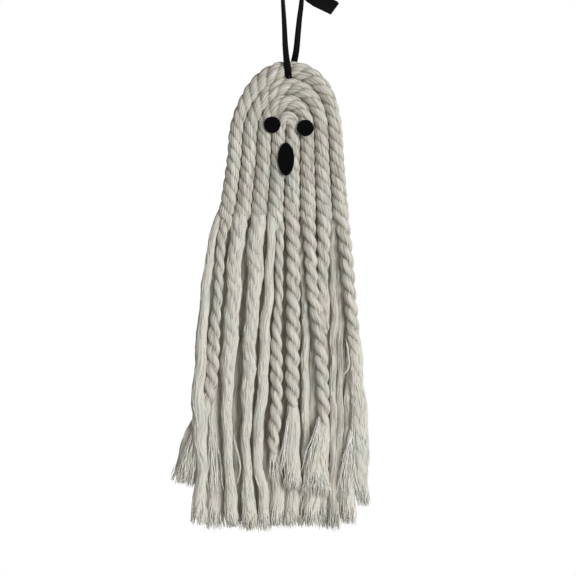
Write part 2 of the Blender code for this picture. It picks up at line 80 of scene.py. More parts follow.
def add_node(tree, kind, inputs=None, **settings):
    """Adds a shader node with its settings. Each input is given a value or another node's output."""
    made = tree.nodes.new(kind)
    for name, value in settings.items():
        setattr(made, name, value)
    for name, value in (inputs or {}).items():
        if isinstance(value, bpy.types.NodeSocket):
            tree.links.new(value, made.inputs[name])
        else:
            made.inputs[name].default_value = value
    return made


def new_material(name, constants):
    """A material, its node tree and its Principled shader, whose sockets get the constants."""
    material = bpy.data.materials.new(name)
    material.use_nodes = True
    shader = material.node_tree.nodes["Principled BSDF"]
    for socket, value in constants.items():
        shader.inputs[socket].default_value = value
    return material, material.node_tree, shader


def mix_colours(tree, share, first, second):
    """The output of a mix of two colours, from the first at share 0 to the second at 1."""
    mix = add_node(tree, "ShaderNodeMix", {"Factor": share, 6: first, 7: second}, data_type="RGBA")
    return mix.outputs[2]


def dress(tree, shader, colour, height, strength, distance):
    """Joins a colour to a shader, and a bump that follows a height."""
    tree.links.new(colour, shader.inputs["Base Color"])
    heights = {"Height": height, "Strength": strength, "Distance": distance}
    bump = add_node(tree, "ShaderNodeBump", heights)
    tree.links.new(bump.outputs["Normal"], shader.inputs["Normal"])


def smooth_rows(rows, step):
    """Rows read every `step` along a smooth curve through the given ones, whose first three
    columns are the place. Each stretch is a Catmull-Rom cubic over the distance run."""
    rows = np.array(rows, float)
    run = np.concatenate([[0], np.cumsum(np.linalg.norm(np.diff(rows[:, :3], axis=0), axis=1))])
    slope = np.gradient(rows, run, axis=0)
    at = np.linspace(0, run[-1], max(3, round(run[-1] / step) + 1))
    i = np.clip(np.searchsorted(run, at, "right") - 1, 0, len(run) - 2)
    span = (run[i + 1] - run[i])[:, None]
    t = (at - run[i])[:, None] / span
    return (
        (2 * t**3 - 3 * t**2 + 1) * rows[i]
        + (t**3 - 2 * t**2 + t) * span * slope[i]
        + (3 * t**2 - 2 * t**3) * rows[i + 1]
        + (t**3 - t**2) * span * slope[i + 1]
    )


def unit(vectors):
    """The vectors divided by their lengths."""
    return vectors / np.linalg.norm(vectors, axis=-1, keepdims=True)


def distance_run(places):
    """The distance run along a route at each of its places."""
    return np.concatenate([[0], np.cumsum(np.linalg.norm(np.diff(places, axis=0), axis=1))])


def ringed(middle, side_w, side_d, across, deep):
    """Corners of a ring round each middle, side_w along its across vector and side_d along its deep
    one. The corners are the last axis of side_w and side_d."""
    return (
        middle[..., None, :]
        + side_w[..., None] * across[..., None, :]
        + side_d[..., None] * deep[..., None, :]
    )


def tube_piece(name, batches, material, slot, *nodes):
    """One mesh of closed tubes. A batch is (points, along, girth, tone): a grid of tube, ring,
    corner and xyz; the metres run at each ring of a tube; the metres round each tube; and a number
    for each corner. Quads join each corner to the next and to the next ring, and a flat face closes
    each end. The UV map fibre is metres along and round, and the attribute tone is that number."""
    places, corners, sizes, maps, tones = [], [], [], [], []
    first = 0
    for points, along, girth, tone in batches:
        tubes, rings, sides, _ = points.shape
        index = first + np.arange(tubes * rings * sides).reshape(tubes, rings, sides)
        after = np.roll(index, -1, axis=2)
        quads = np.stack([index[:, :-1], after[:, :-1], after[:, 1:], index[:, 1:]], -1)
        caps = np.concatenate([index[:, 0, ::-1], index[:, -1]])
        here = np.broadcast_to(girth[:, None, None] * np.arange(sides) / sides, index.shape)
        beyond = here + (girth / sides)[:, None, None]
        reached = np.broadcast_to(along[:, :, None], index.shape)
        quad_u = np.stack([reached[:, :-1], reached[:, :-1], reached[:, 1:], reached[:, 1:]], -1)
        quad_v = np.stack([here[:, :-1], beyond[:, :-1], beyond[:, 1:], here[:, 1:]], -1)
        cap_u = np.concatenate([reached[:, 0, ::-1], reached[:, -1]])
        cap_v = np.concatenate([here[:, 0, ::-1], here[:, -1]])
        places.append(points.reshape(-1, 3))
        corners += [quads.ravel(), caps.ravel()]
        sizes += [np.full(quads.size // 4, 4), np.full(2 * tubes, sides)]
        maps.append(np.stack([quad_u.ravel(), quad_v.ravel()], -1))
        maps.append(np.stack([cap_u.ravel(), cap_v.ravel()], -1))
        tones.append(np.broadcast_to(tone, index.shape).ravel())
        first += index.size
    corners, sizes = np.concatenate(corners), np.concatenate(sizes)
    mesh = bpy.data.meshes.new(name)
    mesh.vertices.add(first)
    mesh.vertices.foreach_set("co", np.concatenate(places).astype(np.float32).ravel())
    mesh.loops.add(len(corners))
    mesh.loops.foreach_set("vertex_index", corners.astype(np.int32))
    mesh.polygons.add(len(sizes))
    mesh.polygons.foreach_set("loop_start", np.concatenate([[0], np.cumsum(sizes)[:-1]]).astype(np.int32))
    uv_map = mesh.uv_layers.new(name="fibre")
    uv_map.data.foreach_set("uv", np.concatenate(maps).astype(np.float32).ravel())
    tone_of = mesh.attributes.new("tone", "FLOAT", "POINT")
    tone_of.data.foreach_set("value", np.concatenate(tones).astype(np.float32))
    mesh.update(calc_edges=True)
    mesh.shade_smooth()
    mesh.materials.append(material)
    piece = bpy.data.objects.new(name, mesh)
    bpy.context.scene.collection.objects.link(piece)
    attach(piece, "root")
    if nodes:
        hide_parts(*nodes)
    return piece


def band(rows, section):
    """A section carried along rows of (x, y, z, half width, half thickness, turn): its width lies
    level, turned from X towards Y by the turn in degrees, and square to the route."""
    places = rows[:, :3]
    ahead = unit(np.gradient(places, axis=0))
    turn = np.radians(rows[:, 5])
    level = np.stack([np.cos(turn), np.sin(turn), 0 * turn], -1)
    across = unit(level - ahead * np.sum(level * ahead, axis=1)[:, None])
    deep = np.cross(ahead, across)
    wide, thick = np.array(section).T
    points = ringed(places, wide * rows[:, 3:4], thick * rows[:, 4:5], across, deep)
    girth = np.array([2 * np.ptp(wide) * rows[:, 3].mean()])
    return points[None], distance_run(places)[None], girth, 0.5


# A closely woven satin ribbon, near black: smooth and finely ribbed, with hardly any shine.
satin_look = {"Roughness": 0.5, "Specular IOR Level": 0.04}
ribbon_satin, tree, satin = new_material("woven_black_satin", satin_look)
fibre = add_node(tree, "ShaderNodeUVMap", uv_map="fibre").outputs["UV"]
# Weft ribs 0.35 mm apart across the ribbon, slightly coarser than real so that they show
ribs = add_node(
    tree,
    "ShaderNodeTexWave",
    {"Vector": fibre, "Scale": 900.0, "Distortion": 0.6, "Detail": 2.0},
    bands_direction="X",
)
cloud = add_node(tree, "ShaderNodeTexNoise", {"Vector": fibre, "Scale": 160.0, "Detail": 3.0})
shade = mix_colours(tree, cloud.outputs["Fac"], linear("#040406"), linear("#0e0e10"))
dress(tree, satin, shade, ribs.outputs["Fac"], 0.25, 0.0001)

mm = 0.001
rope_z = (BEND_Z + OUTER_RISE) / mm
under_z = (BEND_Z + (OUTER_RISE + SECOND_RISE) / 2) / mm
round_rope = RIBBON_SQUEEZE * CROWN_RADIUS / mm + 1.55
# x, y, z in millimetres, width and thickness as shares, turn in degrees
ribbon_route = [
    (6.2, 0, -27.0, 0.7, 1.2, 40), (6.6, 0, -22.0, 0.9, 1, 50), (6.5, 0, -14.0, 0.95, 1, 70),
    (5.4, 0, -7.0, 1, 1, 85), (4.5, 0, -3.7, 1, 1, 88), (3.2, 0, -0.9, 1, 1, 90), (1.7, 0, 0.5, 1, 1, 90),
    (0, 0, 1.0, 1, 1, 90), (-1.7, 0, 0.5, 1, 1, 90), (-3.1, 0, -0.9, 1, 1, 90), (-4.0, 0, -3.7, 1, 1, 88),
    (-4.5, 0, -7.0, 1, 1, 85), (-4.7, 0, -15.0, 1, 1, 75), (-4.3, 0, -25.0, 0.95, 1, 62),
    (-3.8, -0.2, -34.0, 0.9, 1, 55), (-3.1, -0.8, -46.0, 0.9, 1, 40), (-2.6, -2.2, -57.0, 0.95, 1, 22),
    (-2.0, -3.8, -64.0, 1, 1, 8),
]
# Half a turn under the rope, from its front round to its back: degrees, x and width
under_rope = [
    (0, -1.3, 1.15), (30, -1.0, 1.15), (60, -0.7, 1.1), (90, -0.3, 1.05), (120, 0.1, 1.05),
    (150, 0.6, 1.1), (180, 1.3, 1.1),
]
for degrees, x, wide in under_rope:
    round_it = math.radians(degrees)
    y = -round_rope * math.cos(round_it)
    z = rope_z + (under_z - rope_z) * math.sin(round_it)
    ribbon_route.append((x, y, z, wide, 1, 0))
ribbon_route += [
    (2.4, 3.9, -64.6, 1.05, 1, 5), (3.3, 2.4, -60.0, 1, 1, 10), (4.1, 1.0, -52.0, 0.95, 1, 15),
    (5.0, 0.3, -43.0, 0.9, 1, 25), (6.0, 0, -35.0, 0.8, 1.1, 35), (6.2, 0, -32.2, 0.7, 1.2, 40),
]
ribbon_rows = np.array(ribbon_route) * (mm, mm, mm, RIBBON_FOLDED / 2, RIBBON_LAYERS / 2, 1)
ribbon_rows = smooth_rows(ribbon_rows, 0.0009)
# The fold is on one side, and on the other the two edges lie on each other with a slit between
folded = [
    (-1, 0), (-0.86, -0.72), (-0.35, -1), (0.35, -1), (0.92, -0.85), (1, -0.45), (0.6, -0.1), (0.6, 0.12),
    (0.97, 0.4), (0.9, 0.85), (0.3, 1), (-0.4, 0.95), (-0.88, 0.7),
]
ribbon_band = band(ribbon_rows, folded)
ribbon = tube_piece("ribbon_loop", [ribbon_band], ribbon_satin, "black_ribbon", "hanging_ribbon")


# Ribbon knot: the two ends of the ribbon are tied together in one overhand knot, pulled tight, and
# cut slantwise. The tails lie on each other and stand out to the right.
KNOT_PLACE = np.array((0.0062, 0.0, -0.0296))
KNOT_HEIGHT = 0.0026
KNOT_RADIUS = 0.0027
WRAP_HALF_WIDTH = 0.0016  # of the ribbon where it goes round the legs
WRAP_HALF_THICKNESS = 0.0006
TAIL_LENGTH = 0.0185
TAIL_WIDTH = 0.0074
TAIL_LAYER = 0.0004  # thickness of one layer of ribbon
TAIL_AHEAD = np.array((0.909, 0.0, -0.417))

# One and a half turns round the ribbon's legs, tilted, with the ends drawn in under the turn
turn = np.linspace(-0.2, 1.55, 40)
round_legs = 2 * math.pi * turn
climb = np.interp(turn, [-0.2, 0.2, 1.1, 1.55], [-0.9, -0.45, 0.45, 1.0]) * KNOT_HEIGHT
reach = np.interp(turn, [-0.2, 0, 1.3, 1.55], [0.45, 0.8, 0.86, 0.5]) * KNOT_RADIUS
wrap_x = reach * np.cos(round_legs)
wrap = np.stack([wrap_x, 0.8 * reach * np.sin(round_legs), climb + 0.25 * wrap_x], -1)
wrap_ahead = unit(np.gradient(wrap, axis=0))
outward = unit(wrap * (1, 1, 0))
wrap_across = unit(np.cross(wrap_ahead, outward))
ring = np.linspace(0, 2 * math.pi, 12, endpoint=False)
pleat = 1 + 0.12 * np.cos(3 * ring)
wrap_grid = ringed(
    KNOT_PLACE + wrap,
    WRAP_HALF_WIDTH * pleat * np.cos(ring),
    WRAP_HALF_THICKNESS * pleat * np.sin(ring),
    wrap_across,
    np.cross(wrap_ahead, wrap_across),
)
# A lump inside the turn: height and radius as shares of the knot's
lump = [(-1.3, 0.4), (-0.8, 0.7), (0, 0.85), (0.8, 0.7), (1.3, 0.4)]
core_rows = np.array([
    (*(KNOT_PLACE + (0, 0, up * KNOT_HEIGHT)), KNOT_RADIUS * r, 0.7 * KNOT_RADIUS * r, 20.0)
    for up, r in lump
])


def tail_layer(start, ahead, length, lift):
    """One tail as a flat grid: along it, it opens from the knot to its full width, and its cut end
    slants. It bends back 0.9 mm as the square of the way along, and is cupped by 0.5 mm across. A
    thin closed strip follows the grid's outline."""
    side = np.array((-ahead[2], 0, ahead[0]))
    share = np.linspace(0, 1, 16)
    half = TAIL_WIDTH / 2 * np.interp(share, [0, 0.15, 0.4, 1], [0.4, 0.78, 1, 1])
    wide = np.linspace(-1, 1, 9)
    slant = np.interp(share, [0, 0.7, 1], [0, 0, 0.04])
    along = length * (share[:, None] + slant[:, None] * wide)
    depth = lift + 0.0009 * share[:, None] ** 2 - 0.0005 * wide**2 * (1 - 0.5 * share[:, None])
    sheet = start + along[..., None] * ahead + (half[:, None] * wide)[..., None] * side
    front = sheet + np.stack([0 * depth, depth - TAIL_LAYER / 2, 0 * depth], -1)
    back = sheet + np.stack([0 * depth, depth + TAIL_LAYER / 2, 0 * depth], -1)
    grid = np.concatenate([front, back[:, ::-1]], axis=1)
    return grid[None], length * share[None], np.array([2 * TAIL_WIDTH]), 0.5


front_start = KNOT_PLACE + (0.001, -0.0003, -0.0006)
back_start = KNOT_PLACE + (0.001, 0.0003, -0.0004)
tied = [
    (wrap_grid[None], distance_run(wrap)[None], np.array([0.007]), 0.5),
    band(smooth_rows(core_rows, 0.0005), [(math.cos(a), math.sin(a)) for a in ring]),
    tail_layer(front_start, TAIL_AHEAD, TAIL_LENGTH, 0),
    tail_layer(back_start, unit(TAIL_AHEAD + (0, 0, 0.03)), 0.97 * TAIL_LENGTH, 0.0005),
]
knot = tube_piece("ribbon_knot_tied", tied, ribbon_satin, "black_ribbon", "ribbon_knot")


# Outermost rope: three-strand cotton rope, 8 mm thick, laid left-handed. It makes the ghost's
# outline. Its left end is opened into one strand and a laid pair. Its right end goes on as a laid
# pair for two fifths of the skirt, and is combed out from there.
TURN_IN_HEAD = 0.0192  # length in which a strand goes once round the rope
TURN_IN_SKIRT = 0.0262
TURN_IN_PAIR = 0.0174
STRAIGHT_LENGTH = 0.0125  # of the upright legs below the bends
FAN_LENGTH = 0.035  # from there to the neck
NECK_FAN = 0.13  # how much further apart the ropes stand at the neck, as a share
NECK_LEAN = 0.0011  # how far they shift to the left over the fan
HEAD_SHIFT = 0.0023  # how far the head's middle lies left of the hook
SKIRT_LENGTH = 0.168
SQUEEZED_LENGTH = 0.002  # over which the ribbon squeezes the rope
HEAD_LEAN = 0.0018  # how far the crown leans to the right
LEAN_DROP = 0.007  # how far below the bends it starts to lean
LEAN_HEIGHT = 0.0347
HEAD_NARROWING = 0.08  # how much closer the ropes stand on top, as a share
NARROWING_HEIGHT = 0.0267
GIVE = 0.0002  # how far a rope is pressed into the one beside it
CROWN_SWELL = 0.0005  # how much thicker a rope's radius is on top of the crown than at its sides
NECK_DROP = STRAIGHT_LENGTH + FAN_LENGTH
NECK_Z = BEND_Z - NECK_DROP
YARNS = 12  # ridges round one strand of a laid rope
YARN_WIDTH = 0.0012  # in the bundles, whose yarns are thicker than a single strand's

# Undyed cotton yarn, softly spun: matte and creamy, with the faintest pink and green in places, and
# hairs that give it a light bloom where it turns away. Painted shade darkens it between the yarns and
# in the grooves, and painted light whitens frayed ends and fine fibres.
cotton, tree, yarn = new_material(
    "undyed_spun_cotton", {"Roughness": 0.95, "Sheen Weight": 0.2, "Sheen Roughness": 0.6}
)
fibre = add_node(tree, "ShaderNodeUVMap", uv_map="fibre").outputs["UV"]
place = add_node(tree, "ShaderNodeTexCoord").outputs["Object"]
tone = add_node(tree, "ShaderNodeAttribute", attribute_name="tone").outputs["Fac"]
# Spun fibres, drawn 0.8 mm apart round a strand, coarser than real so that they show, and 10 mm long
stretched = add_node(tree, "ShaderNodeMapping", {"Vector": fibre, "Scale": (0.06, 1.0, 1.0)})
spun = add_node(
    tree, "ShaderNodeTexNoise", {"Vector": stretched.outputs["Vector"], "Scale": 1200.0, "Detail": 3.0}
)
streaks = add_node(
    tree, "ShaderNodeMapRange", {"Value": spun.outputs["Fac"], "From Min": 0.33, "From Max": 0.67}
)
# Clouds of tint 15 mm across
clouds = add_node(tree, "ShaderNodeTexNoise", {"Vector": place, "Scale": 65.0, "Detail": 2.0})
tint = add_node(tree, "ShaderNodeValToRGB", {"Fac": clouds.outputs["Fac"]})
tint.color_ramp.elements.new(0.5)
tints = ((0.35, "#e4dfd8"), (0.5, "#e6e3d7"), (0.65, "#dee0d7"))
for stop, (position, code) in zip(tint.color_ramp.elements, tints):
    stop.position = position
    stop.color = linear(code)
# The tone attribute holds each yarn's random tone together with painted shade between yarns, in grooves
# and on strands behind
shading = add_node(tree, "ShaderNodeMath", {0: streaks.outputs["Result"], 1: tone}, operation="ADD")
depth = add_node(
    tree, "ShaderNodeMapRange", {"Value": shading.outputs[0], "From Min": 0.15, "From Max": 1.48}
)
# 7a7260 is a warm painted shade colour, reached where the tone and streaks are low
toned_with_painted_shade = mix_colours(tree, depth.outputs["Result"], linear("#7a7260"), tint.outputs["Color"])
# Frayed ends and fine loose fibres, whose tone is over 1.05, are mixed towards near white: painted light
loose = add_node(tree, "ShaderNodeMapRange", {"Value": tone, "From Min": 1.05, "From Max": 1.4})
paler_by_painted_light = mix_colours(tree, loose.outputs["Result"], toned_with_painted_shade, linear("#faf8f2"))
dress(tree, yarn, paler_by_painted_light, spun.outputs["Fac"], 0.8, 0.0003)


def eased(share):
    """Goes from 0 to 1 as 3 s^2 - 2 s^3, with no kink at either end."""
    share = np.clip(share, 0, 1)
    return share**2 * (3 - 2 * share)


def head_middle(z):
    """Where the head's middle lies across the ghost, which leans to the right as an eased step."""
    return -HEAD_SHIFT + HEAD_LEAN * eased((z - BEND_Z + LEAN_DROP) / LEAN_HEIGHT)


def head_share(z):
    """The head's width as a share, which narrows upwards as an eased step."""
    return 1 - HEAD_NARROWING * eased((z - BEND_Z + STRAIGHT_LENGTH) / NARROWING_HEIGHT)


def leg_x(lane, below_bend):
    """Where a rope stands across the ghost, with lanes counted in rope spacings from the middle. The
    ropes stand upright, then fan out to the neck as the distance below to the power of 1.2."""
    fanned = np.clip((below_bend - STRAIGHT_LENGTH) / FAN_LENGTH, 0, 1) ** 1.2
    z = BEND_Z - below_bend
    spread = lane * ROPE_SPACING * head_share(z) * (1 + NECK_FAN * fanned)
    return head_middle(z) - NECK_LEAN * fanned + spread


def leg_radius(below_bend):
    """Half the room between the middles of two ropes, less the clearance."""
    return (leg_x(1, below_bend) - leg_x(0, below_bend) - CLEARANCE) / 2


def arch_rows(lane, rise, swell=CROWN_SWELL):
    """Rows of (x, y, z, half width, half depth) up the left leg, round the crown as half an ellipse
    that narrows and leans with the head, and down the right leg. The rope swells towards the top."""
    left = np.linspace(NECK_DROP, 0, 12)[:-1]
    right = np.linspace(0, NECK_DROP, 12)[1:]
    turn = np.linspace(math.pi, 0, 21)
    width = lane * ROPE_SPACING
    lift = max(0, rise - width) if lane < 1 else 0
    crown_z = BEND_Z + lift + (rise - lift) * np.sin(turn)
    crown_x = head_middle(crown_z) + width * head_share(crown_z) * np.cos(turn)
    x = np.concatenate([leg_x(-lane, left), crown_x, leg_x(lane, right)])
    z = np.concatenate([BEND_Z - left, crown_z, BEND_Z - right])
    crown_radius = ROPE_RADIUS * head_share(crown_z) ** np.cos(turn) ** 2 + swell * np.sin(turn) ** 2
    radius = np.concatenate([leg_radius(left), crown_radius, leg_radius(right)]) + GIVE
    return np.stack([x, 0 * x, z, radius, radius], -1)


def skirt_rows(route, depth_share):
    """Rows for a strand or rope below the neck. A route lists (fall, lane, depth, width): the fall
    in hundredths of the skirt, the others in hundredths of a rope spacing. It is depth_share as
    deep as it is wide."""
    fall, lane, deep, wide = np.array(route, float).T / 100
    half = wide * ROPE_SPACING / 2
    x = -HEAD_SHIFT + lane * ROPE_SPACING
    z = NECK_Z - fall * SKIRT_LENGTH
    return np.stack([x, deep * ROPE_SPACING, z, half, depth_share * half], -1)


def tapered_end(*lanes):
    """The route of a rope's end that goes on over three lanes below the neck, where it thins and
    dives behind the others."""
    return [(0.5, lanes[0], 4, 106), (3, lanes[1], 20, 90), (6, lanes[2], 40, 50)]


def with_ends(rows, left, right):
    """An arch with the routes of its two ends, which are listed downwards, in rows 1 mm apart."""
    return smooth_rows(np.concatenate([skirt_rows(left[::-1], 1), rows, skirt_rows(right, 1)]), 0.001)


def narrowed(rows, where, half_length, share):
    """Thins the rows to `share` of their size at a place, as a bell curve of the distance."""
    away = np.linalg.norm(rows[:, :3] - np.array(where), axis=1)
    thinner = 1 - (1 - share) * np.exp(-((away / half_length) ** 2))
    return rows * np.stack([1 + 0 * away] * 3 + [thinner] * 2, -1)


def turn_lengths(rows):
    """The length of a strand's turn, which grows evenly over 3 rope spacings below the neck."""
    loosened = np.clip((NECK_Z - rows[:, 2]) / (3 * ROPE_SPACING), 0, 1)
    return TURN_IN_HEAD + (TURN_IN_SKIRT - TURN_IN_HEAD) * loosened


def freedom(rows):
    """From 0 where a rope is glued beside the others to 1 where it hangs free."""
    return eased((NECK_Z + 0.5 * ROPE_SPACING - rows[:, 2]) / (2.5 * ROPE_SPACING))


def directions(places):
    """Unit vectors along a route, across it and through its depth."""
    ahead = unit(np.gradient(places, axis=0))
    across = unit(np.cross((0, 1, 0), ahead))
    return ahead, across, np.cross(ahead, across)


def waver(random, shape, run, length, size):
    """Smooth random numbers for each tube at each distance run: three sines added, whose waves are
    about `length` long, with random starts."""
    total = 0
    for share in (0.6, 1.0, 1.7):
        start = random.uniform(0, 2 * math.pi, shape)
        total = total + np.sin(2 * math.pi * run / (length * share) + start) / 1.7
    return size * total


def laid(
    rows, seed, turns, strands=3, out=0.4, thick=0.72, count=YARNS, close=0.003, free=0.0,
    tones=(0.4, 0.85), shaded=0.6,
):
    """Strands laid round each other, left-handed, once in each length of `turns`. A strand's middle
    goes round the route at `out` of its half width. Its section is a circle of `thick` of it with a
    ridge for each yarn, as a sine to the power of 0.7 and a tenth high. The yarns turn back by 0.34
    of the strands' own turning, so they run nearly along the rope. What stands out past 0.8 of the
    half width is pressed in by 0.4 of that, and the ends close to a point over `close`, the lower
    one over 4 mm at most. Each yarn's tone is drawn from `tones`, with painted shade on it: 0.1
    lower between yarns and `shaded` lower in the grooves between strands. Where `free` is 1 the
    strands are 0.12 thinner, 0.06 further out and less pressed in, their tone is 0.25 higher as
    painted light, and the painted shade in the grooves is 0.3 deeper."""
    random = np.random.default_rng(seed)
    places, half_w, half_d = rows[:, :3], rows[:, 3], rows[:, 4]
    free = np.broadcast_to(free, half_w.shape)[None, :, None]
    _, across, deep = directions(places)
    run = distance_run(places)
    turns = np.broadcast_to(turns, run.shape)
    turned = -np.concatenate([[0], np.cumsum(2 * math.pi * np.diff(run) / turns[1:])])
    angle = (turned + 2 * math.pi * np.arange(strands)[:, None] / strands)[:, :, None]
    sides = 4 * count
    corner = np.arange(sides)
    widths = random.uniform(0.75, 1.25, (strands, count))
    edges = np.concatenate([np.zeros((strands, 1)), np.cumsum(widths, axis=1)], axis=1)
    edges *= 2 * math.pi / edges[:, -1:]
    yarn_of = corner // 4
    within = (corner % 4) / 4
    ring = edges[:, yarn_of] + within * (edges[:, yarn_of + 1] - edges[:, yarn_of])
    ridge = 0.92 + 0.1 * np.sin(math.pi * within) ** 0.7
    plump = 1 + waver(random, (strands, 1, count), run[None, :, None], 0.011, 0.03)[:, :, yarn_of]
    around = ring[:, None, :] - 0.34 * turned[None, :, None]
    reach = (thick - 0.12 * free) * ridge * plump
    side_w = (out + 0.06 * free) * np.cos(angle) + reach * np.cos(around)
    side_d = (out + 0.06 * free) * np.sin(angle) + reach * np.sin(around)
    far = np.hypot(side_w, side_d)
    pressed = np.where(far > 0.8, 0.8 + (0.6 + 0.35 * free) * (far - 0.8), far) / far
    closed = np.clip(np.minimum(run / close, (run[-1] - run) / min(close, 0.004)), 0.02, 1) ** 0.5
    size_w = (closed * half_w)[None, :, None]
    size_d = (closed * half_d)[None, :, None]
    points = ringed(places, pressed * side_w * size_w, pressed * side_d * size_d, across, deep)
    # Painted shade: the tone drops between yarns and in the grooves between strands, found from `far`;
    # where free, 0.25 is added as painted light.
    groove = np.clip((0.96 - far) / (0.16 + 0.1 * free), 0, 1)
    tone = random.uniform(*tones, (strands, 1, count))[:, :, yarn_of]
    tone = tone - 0.1 * (within == 0) - shaded * (1 + 0.3 * free) * groove + 0.25 * free
    girth = np.full(strands, 2 * math.pi * thick * half_w.mean())
    along = np.broadcast_to(run, (strands, len(run))) + random.uniform(0, 1, (strands, 1))
    return points, along, girth, tone


def yarns(
    rows, count, seed, width, twist=0.0, wave=0.00025, ragged=0.003, emerge=0.004, lay=0.0, sides=4,
    step=0.003, lobes=0.0, tones=(0.85, 1.12),
):
    """Loose yarns along a route. Two in three lie on the rim of the section, evenly spread over its
    width in front and behind, the others inside. A yarn turns with `twist` radians a metre, and at
    first with `lay` radians a metre more, which dies away over 9 mm. It comes up from inside over
    `emerge`, the middle ones first, wavers sideways, and ends up to `ragged` short of the route,
    thinned to a point. Those behind spread 0.2 wider. Where the rope keeps some of its lay, it is
    `lobes` narrower between its three strands, with painted shade there that lowers the tone by 1.6
    times `lobes`, and both die away over 140 mm."""
    random = np.random.default_rng(seed)
    places = rows[:, :3]
    _, across, deep = directions(places)
    run = distance_run(places)
    rings = max(6, round(run[-1] / step))
    front = np.arange(count) % 3
    even = (np.arange(count) // 3 + random.uniform(0.2, 0.8, count)) / math.ceil(count / 3)
    spot = np.arccos(np.clip(2 * even - 1, -1, 1)) * np.where(front == 0, 1, -1)
    starts = emerge * np.clip(np.abs(np.cos(spot)) + random.uniform(-0.3, 0.3, count), 0, 1)
    ends = run[-1] - ragged * random.uniform(0, 1, count) ** 1.5
    at = starts[:, None] + (ends - starts)[:, None] * np.linspace(0, 1, rings)
    table = np.concatenate([rows, across, deep], axis=1)
    here = np.stack([np.interp(at, run, column) for column in table.T], -1)
    middle, across, deep = here[..., :3], here[..., 5:8], here[..., 8:]
    half_w, half_d = here[..., 3], here[..., 4]
    inside = random.uniform(0.1, 0.85, count)
    rim = np.where(front == 2, inside, random.uniform(0.9, 1.0, count))[:, None]
    grown = np.clip((at - starts[:, None]) / emerge, 0, 1)
    still_laid = lay * 0.009 * (1 - np.exp(-at / 0.009))
    angle = spot[:, None] + twist * at + still_laid + waver(random, (count, 1), at, 0.05, 0.2)
    thick = width * random.uniform(0.75, 1.25, count)[:, None] / 2
    in_turn = 3 * (angle + 2 * math.pi * at / TURN_IN_SKIRT)
    hollow = np.exp(-((at / 0.14) ** 2)) * (1 - np.cos(in_turn)) / 2
    wider = (1 + 0.2 * np.clip(np.sin(angle), 0, 1)) * (1 - lobes * hollow)
    reach_w = wider * rim * (0.85 + 0.15 * grown) * np.maximum(half_w - thick, 0.0001)
    reach_d = rim * (0.4 + 0.6 * grown) * (1 - lobes * hollow) * np.maximum(half_d - thick, 0.0001)
    side_w = reach_w * np.cos(angle) + waver(random, (count, 1), at, 0.017, wave)
    side_d = reach_d * np.sin(angle) + waver(random, (count, 1), at, 0.017, wave)
    middle = middle + side_w[..., None] * across + side_d[..., None] * deep
    point = np.clip(0.1 + (ends[:, None] - at) / 0.006, 0.1, 1) ** 0.7
    radius = thick * point * (0.35 + 0.65 * grown) * (1 + waver(random, (count, 1), at, 0.008, 0.08))
    ring = 2 * math.pi * np.arange(sides) / sides + random.uniform(0, 6.28, (count, 1, 1))
    corner_w, corner_d = radius[..., None] * np.cos(ring), radius[..., None] * np.sin(ring)
    points = ringed(middle, corner_w, corner_d, across, deep)
    along = at + random.uniform(0, 1, (count, 1))
    # Painted shade between the lobes of the strands lowers the tone.
    tone = random.uniform(*tones, (count, 1)) - 1.6 * lobes * hollow
    return points, along, np.full(count, math.pi * width), tone[..., None]


def hairs(rows, count, seed):
    """Stray fibres 0.13 mm thick and 4.5 mm long, more or less, that stand off a rope. Each starts
    on its surface and leans away from it as the distance along it to the power of 1.6, with a
    sideways curl. None starts under the felt face, in an ellipse that reaches 18 mm to each side
    and 21 mm up and down from a point 11 mm below the bends."""
    length = 0.0045
    width = 0.00013
    random = np.random.default_rng(seed)
    ahead, across, deep = directions(rows[:, :3])
    from_face = np.hypot((rows[:, 0] - leg_x(0, 0)) / 0.018, (rows[:, 2] - BEND_Z + 0.011) / 0.021)
    bare = np.flatnonzero(from_face > 1)
    root = random.choice(bare[(bare > 1) & (bare < len(rows) - 2)], count)
    way = random.uniform(0, 2 * math.pi, count)[:, None]
    out = np.cos(way) * across[root] + np.sin(way) * deep[root]
    foot_w = 0.88 * rows[root, 3:4] * np.cos(way)
    foot_d = 0.88 * rows[root, 4:5] * np.sin(way)
    foot = rows[root, :3] + foot_w * across[root] + foot_d * deep[root]
    side = np.cross(out, ahead[root])
    share = np.linspace(0, 1, 5)[None, :, None]
    long = (length * random.uniform(0.4, 1.3, count))[:, None, None]
    lean = random.uniform(0.25, 0.8, count)[:, None, None]
    drift = random.choice((-1, 1), count)[:, None, None] * random.uniform(0.3, 1, count)[:, None, None]
    curl = random.normal(0, 0.35, count)[:, None, None]
    forward = drift * share * ahead[root][:, None]
    outward = lean * share**1.6 * out[:, None]
    sideways = curl * share**2 * side[:, None]
    middle = foot[:, None] + long * (forward + outward + sideways)
    radius = width / 2 * np.linspace(1, 0.5, 5)
    ring = 2 * math.pi * np.arange(3) / 3
    corner_w, corner_d = radius[:, None] * np.cos(ring), radius[:, None] * np.sin(ring)
    points = ringed(middle, corner_w, corner_d, out[:, None], side[:, None])
    along = np.broadcast_to(long[..., 0] * share[..., 0], (count, 5)) + random.uniform(0, 1, (count, 1))
    return points, along, np.full(count, math.pi * width), 0.6


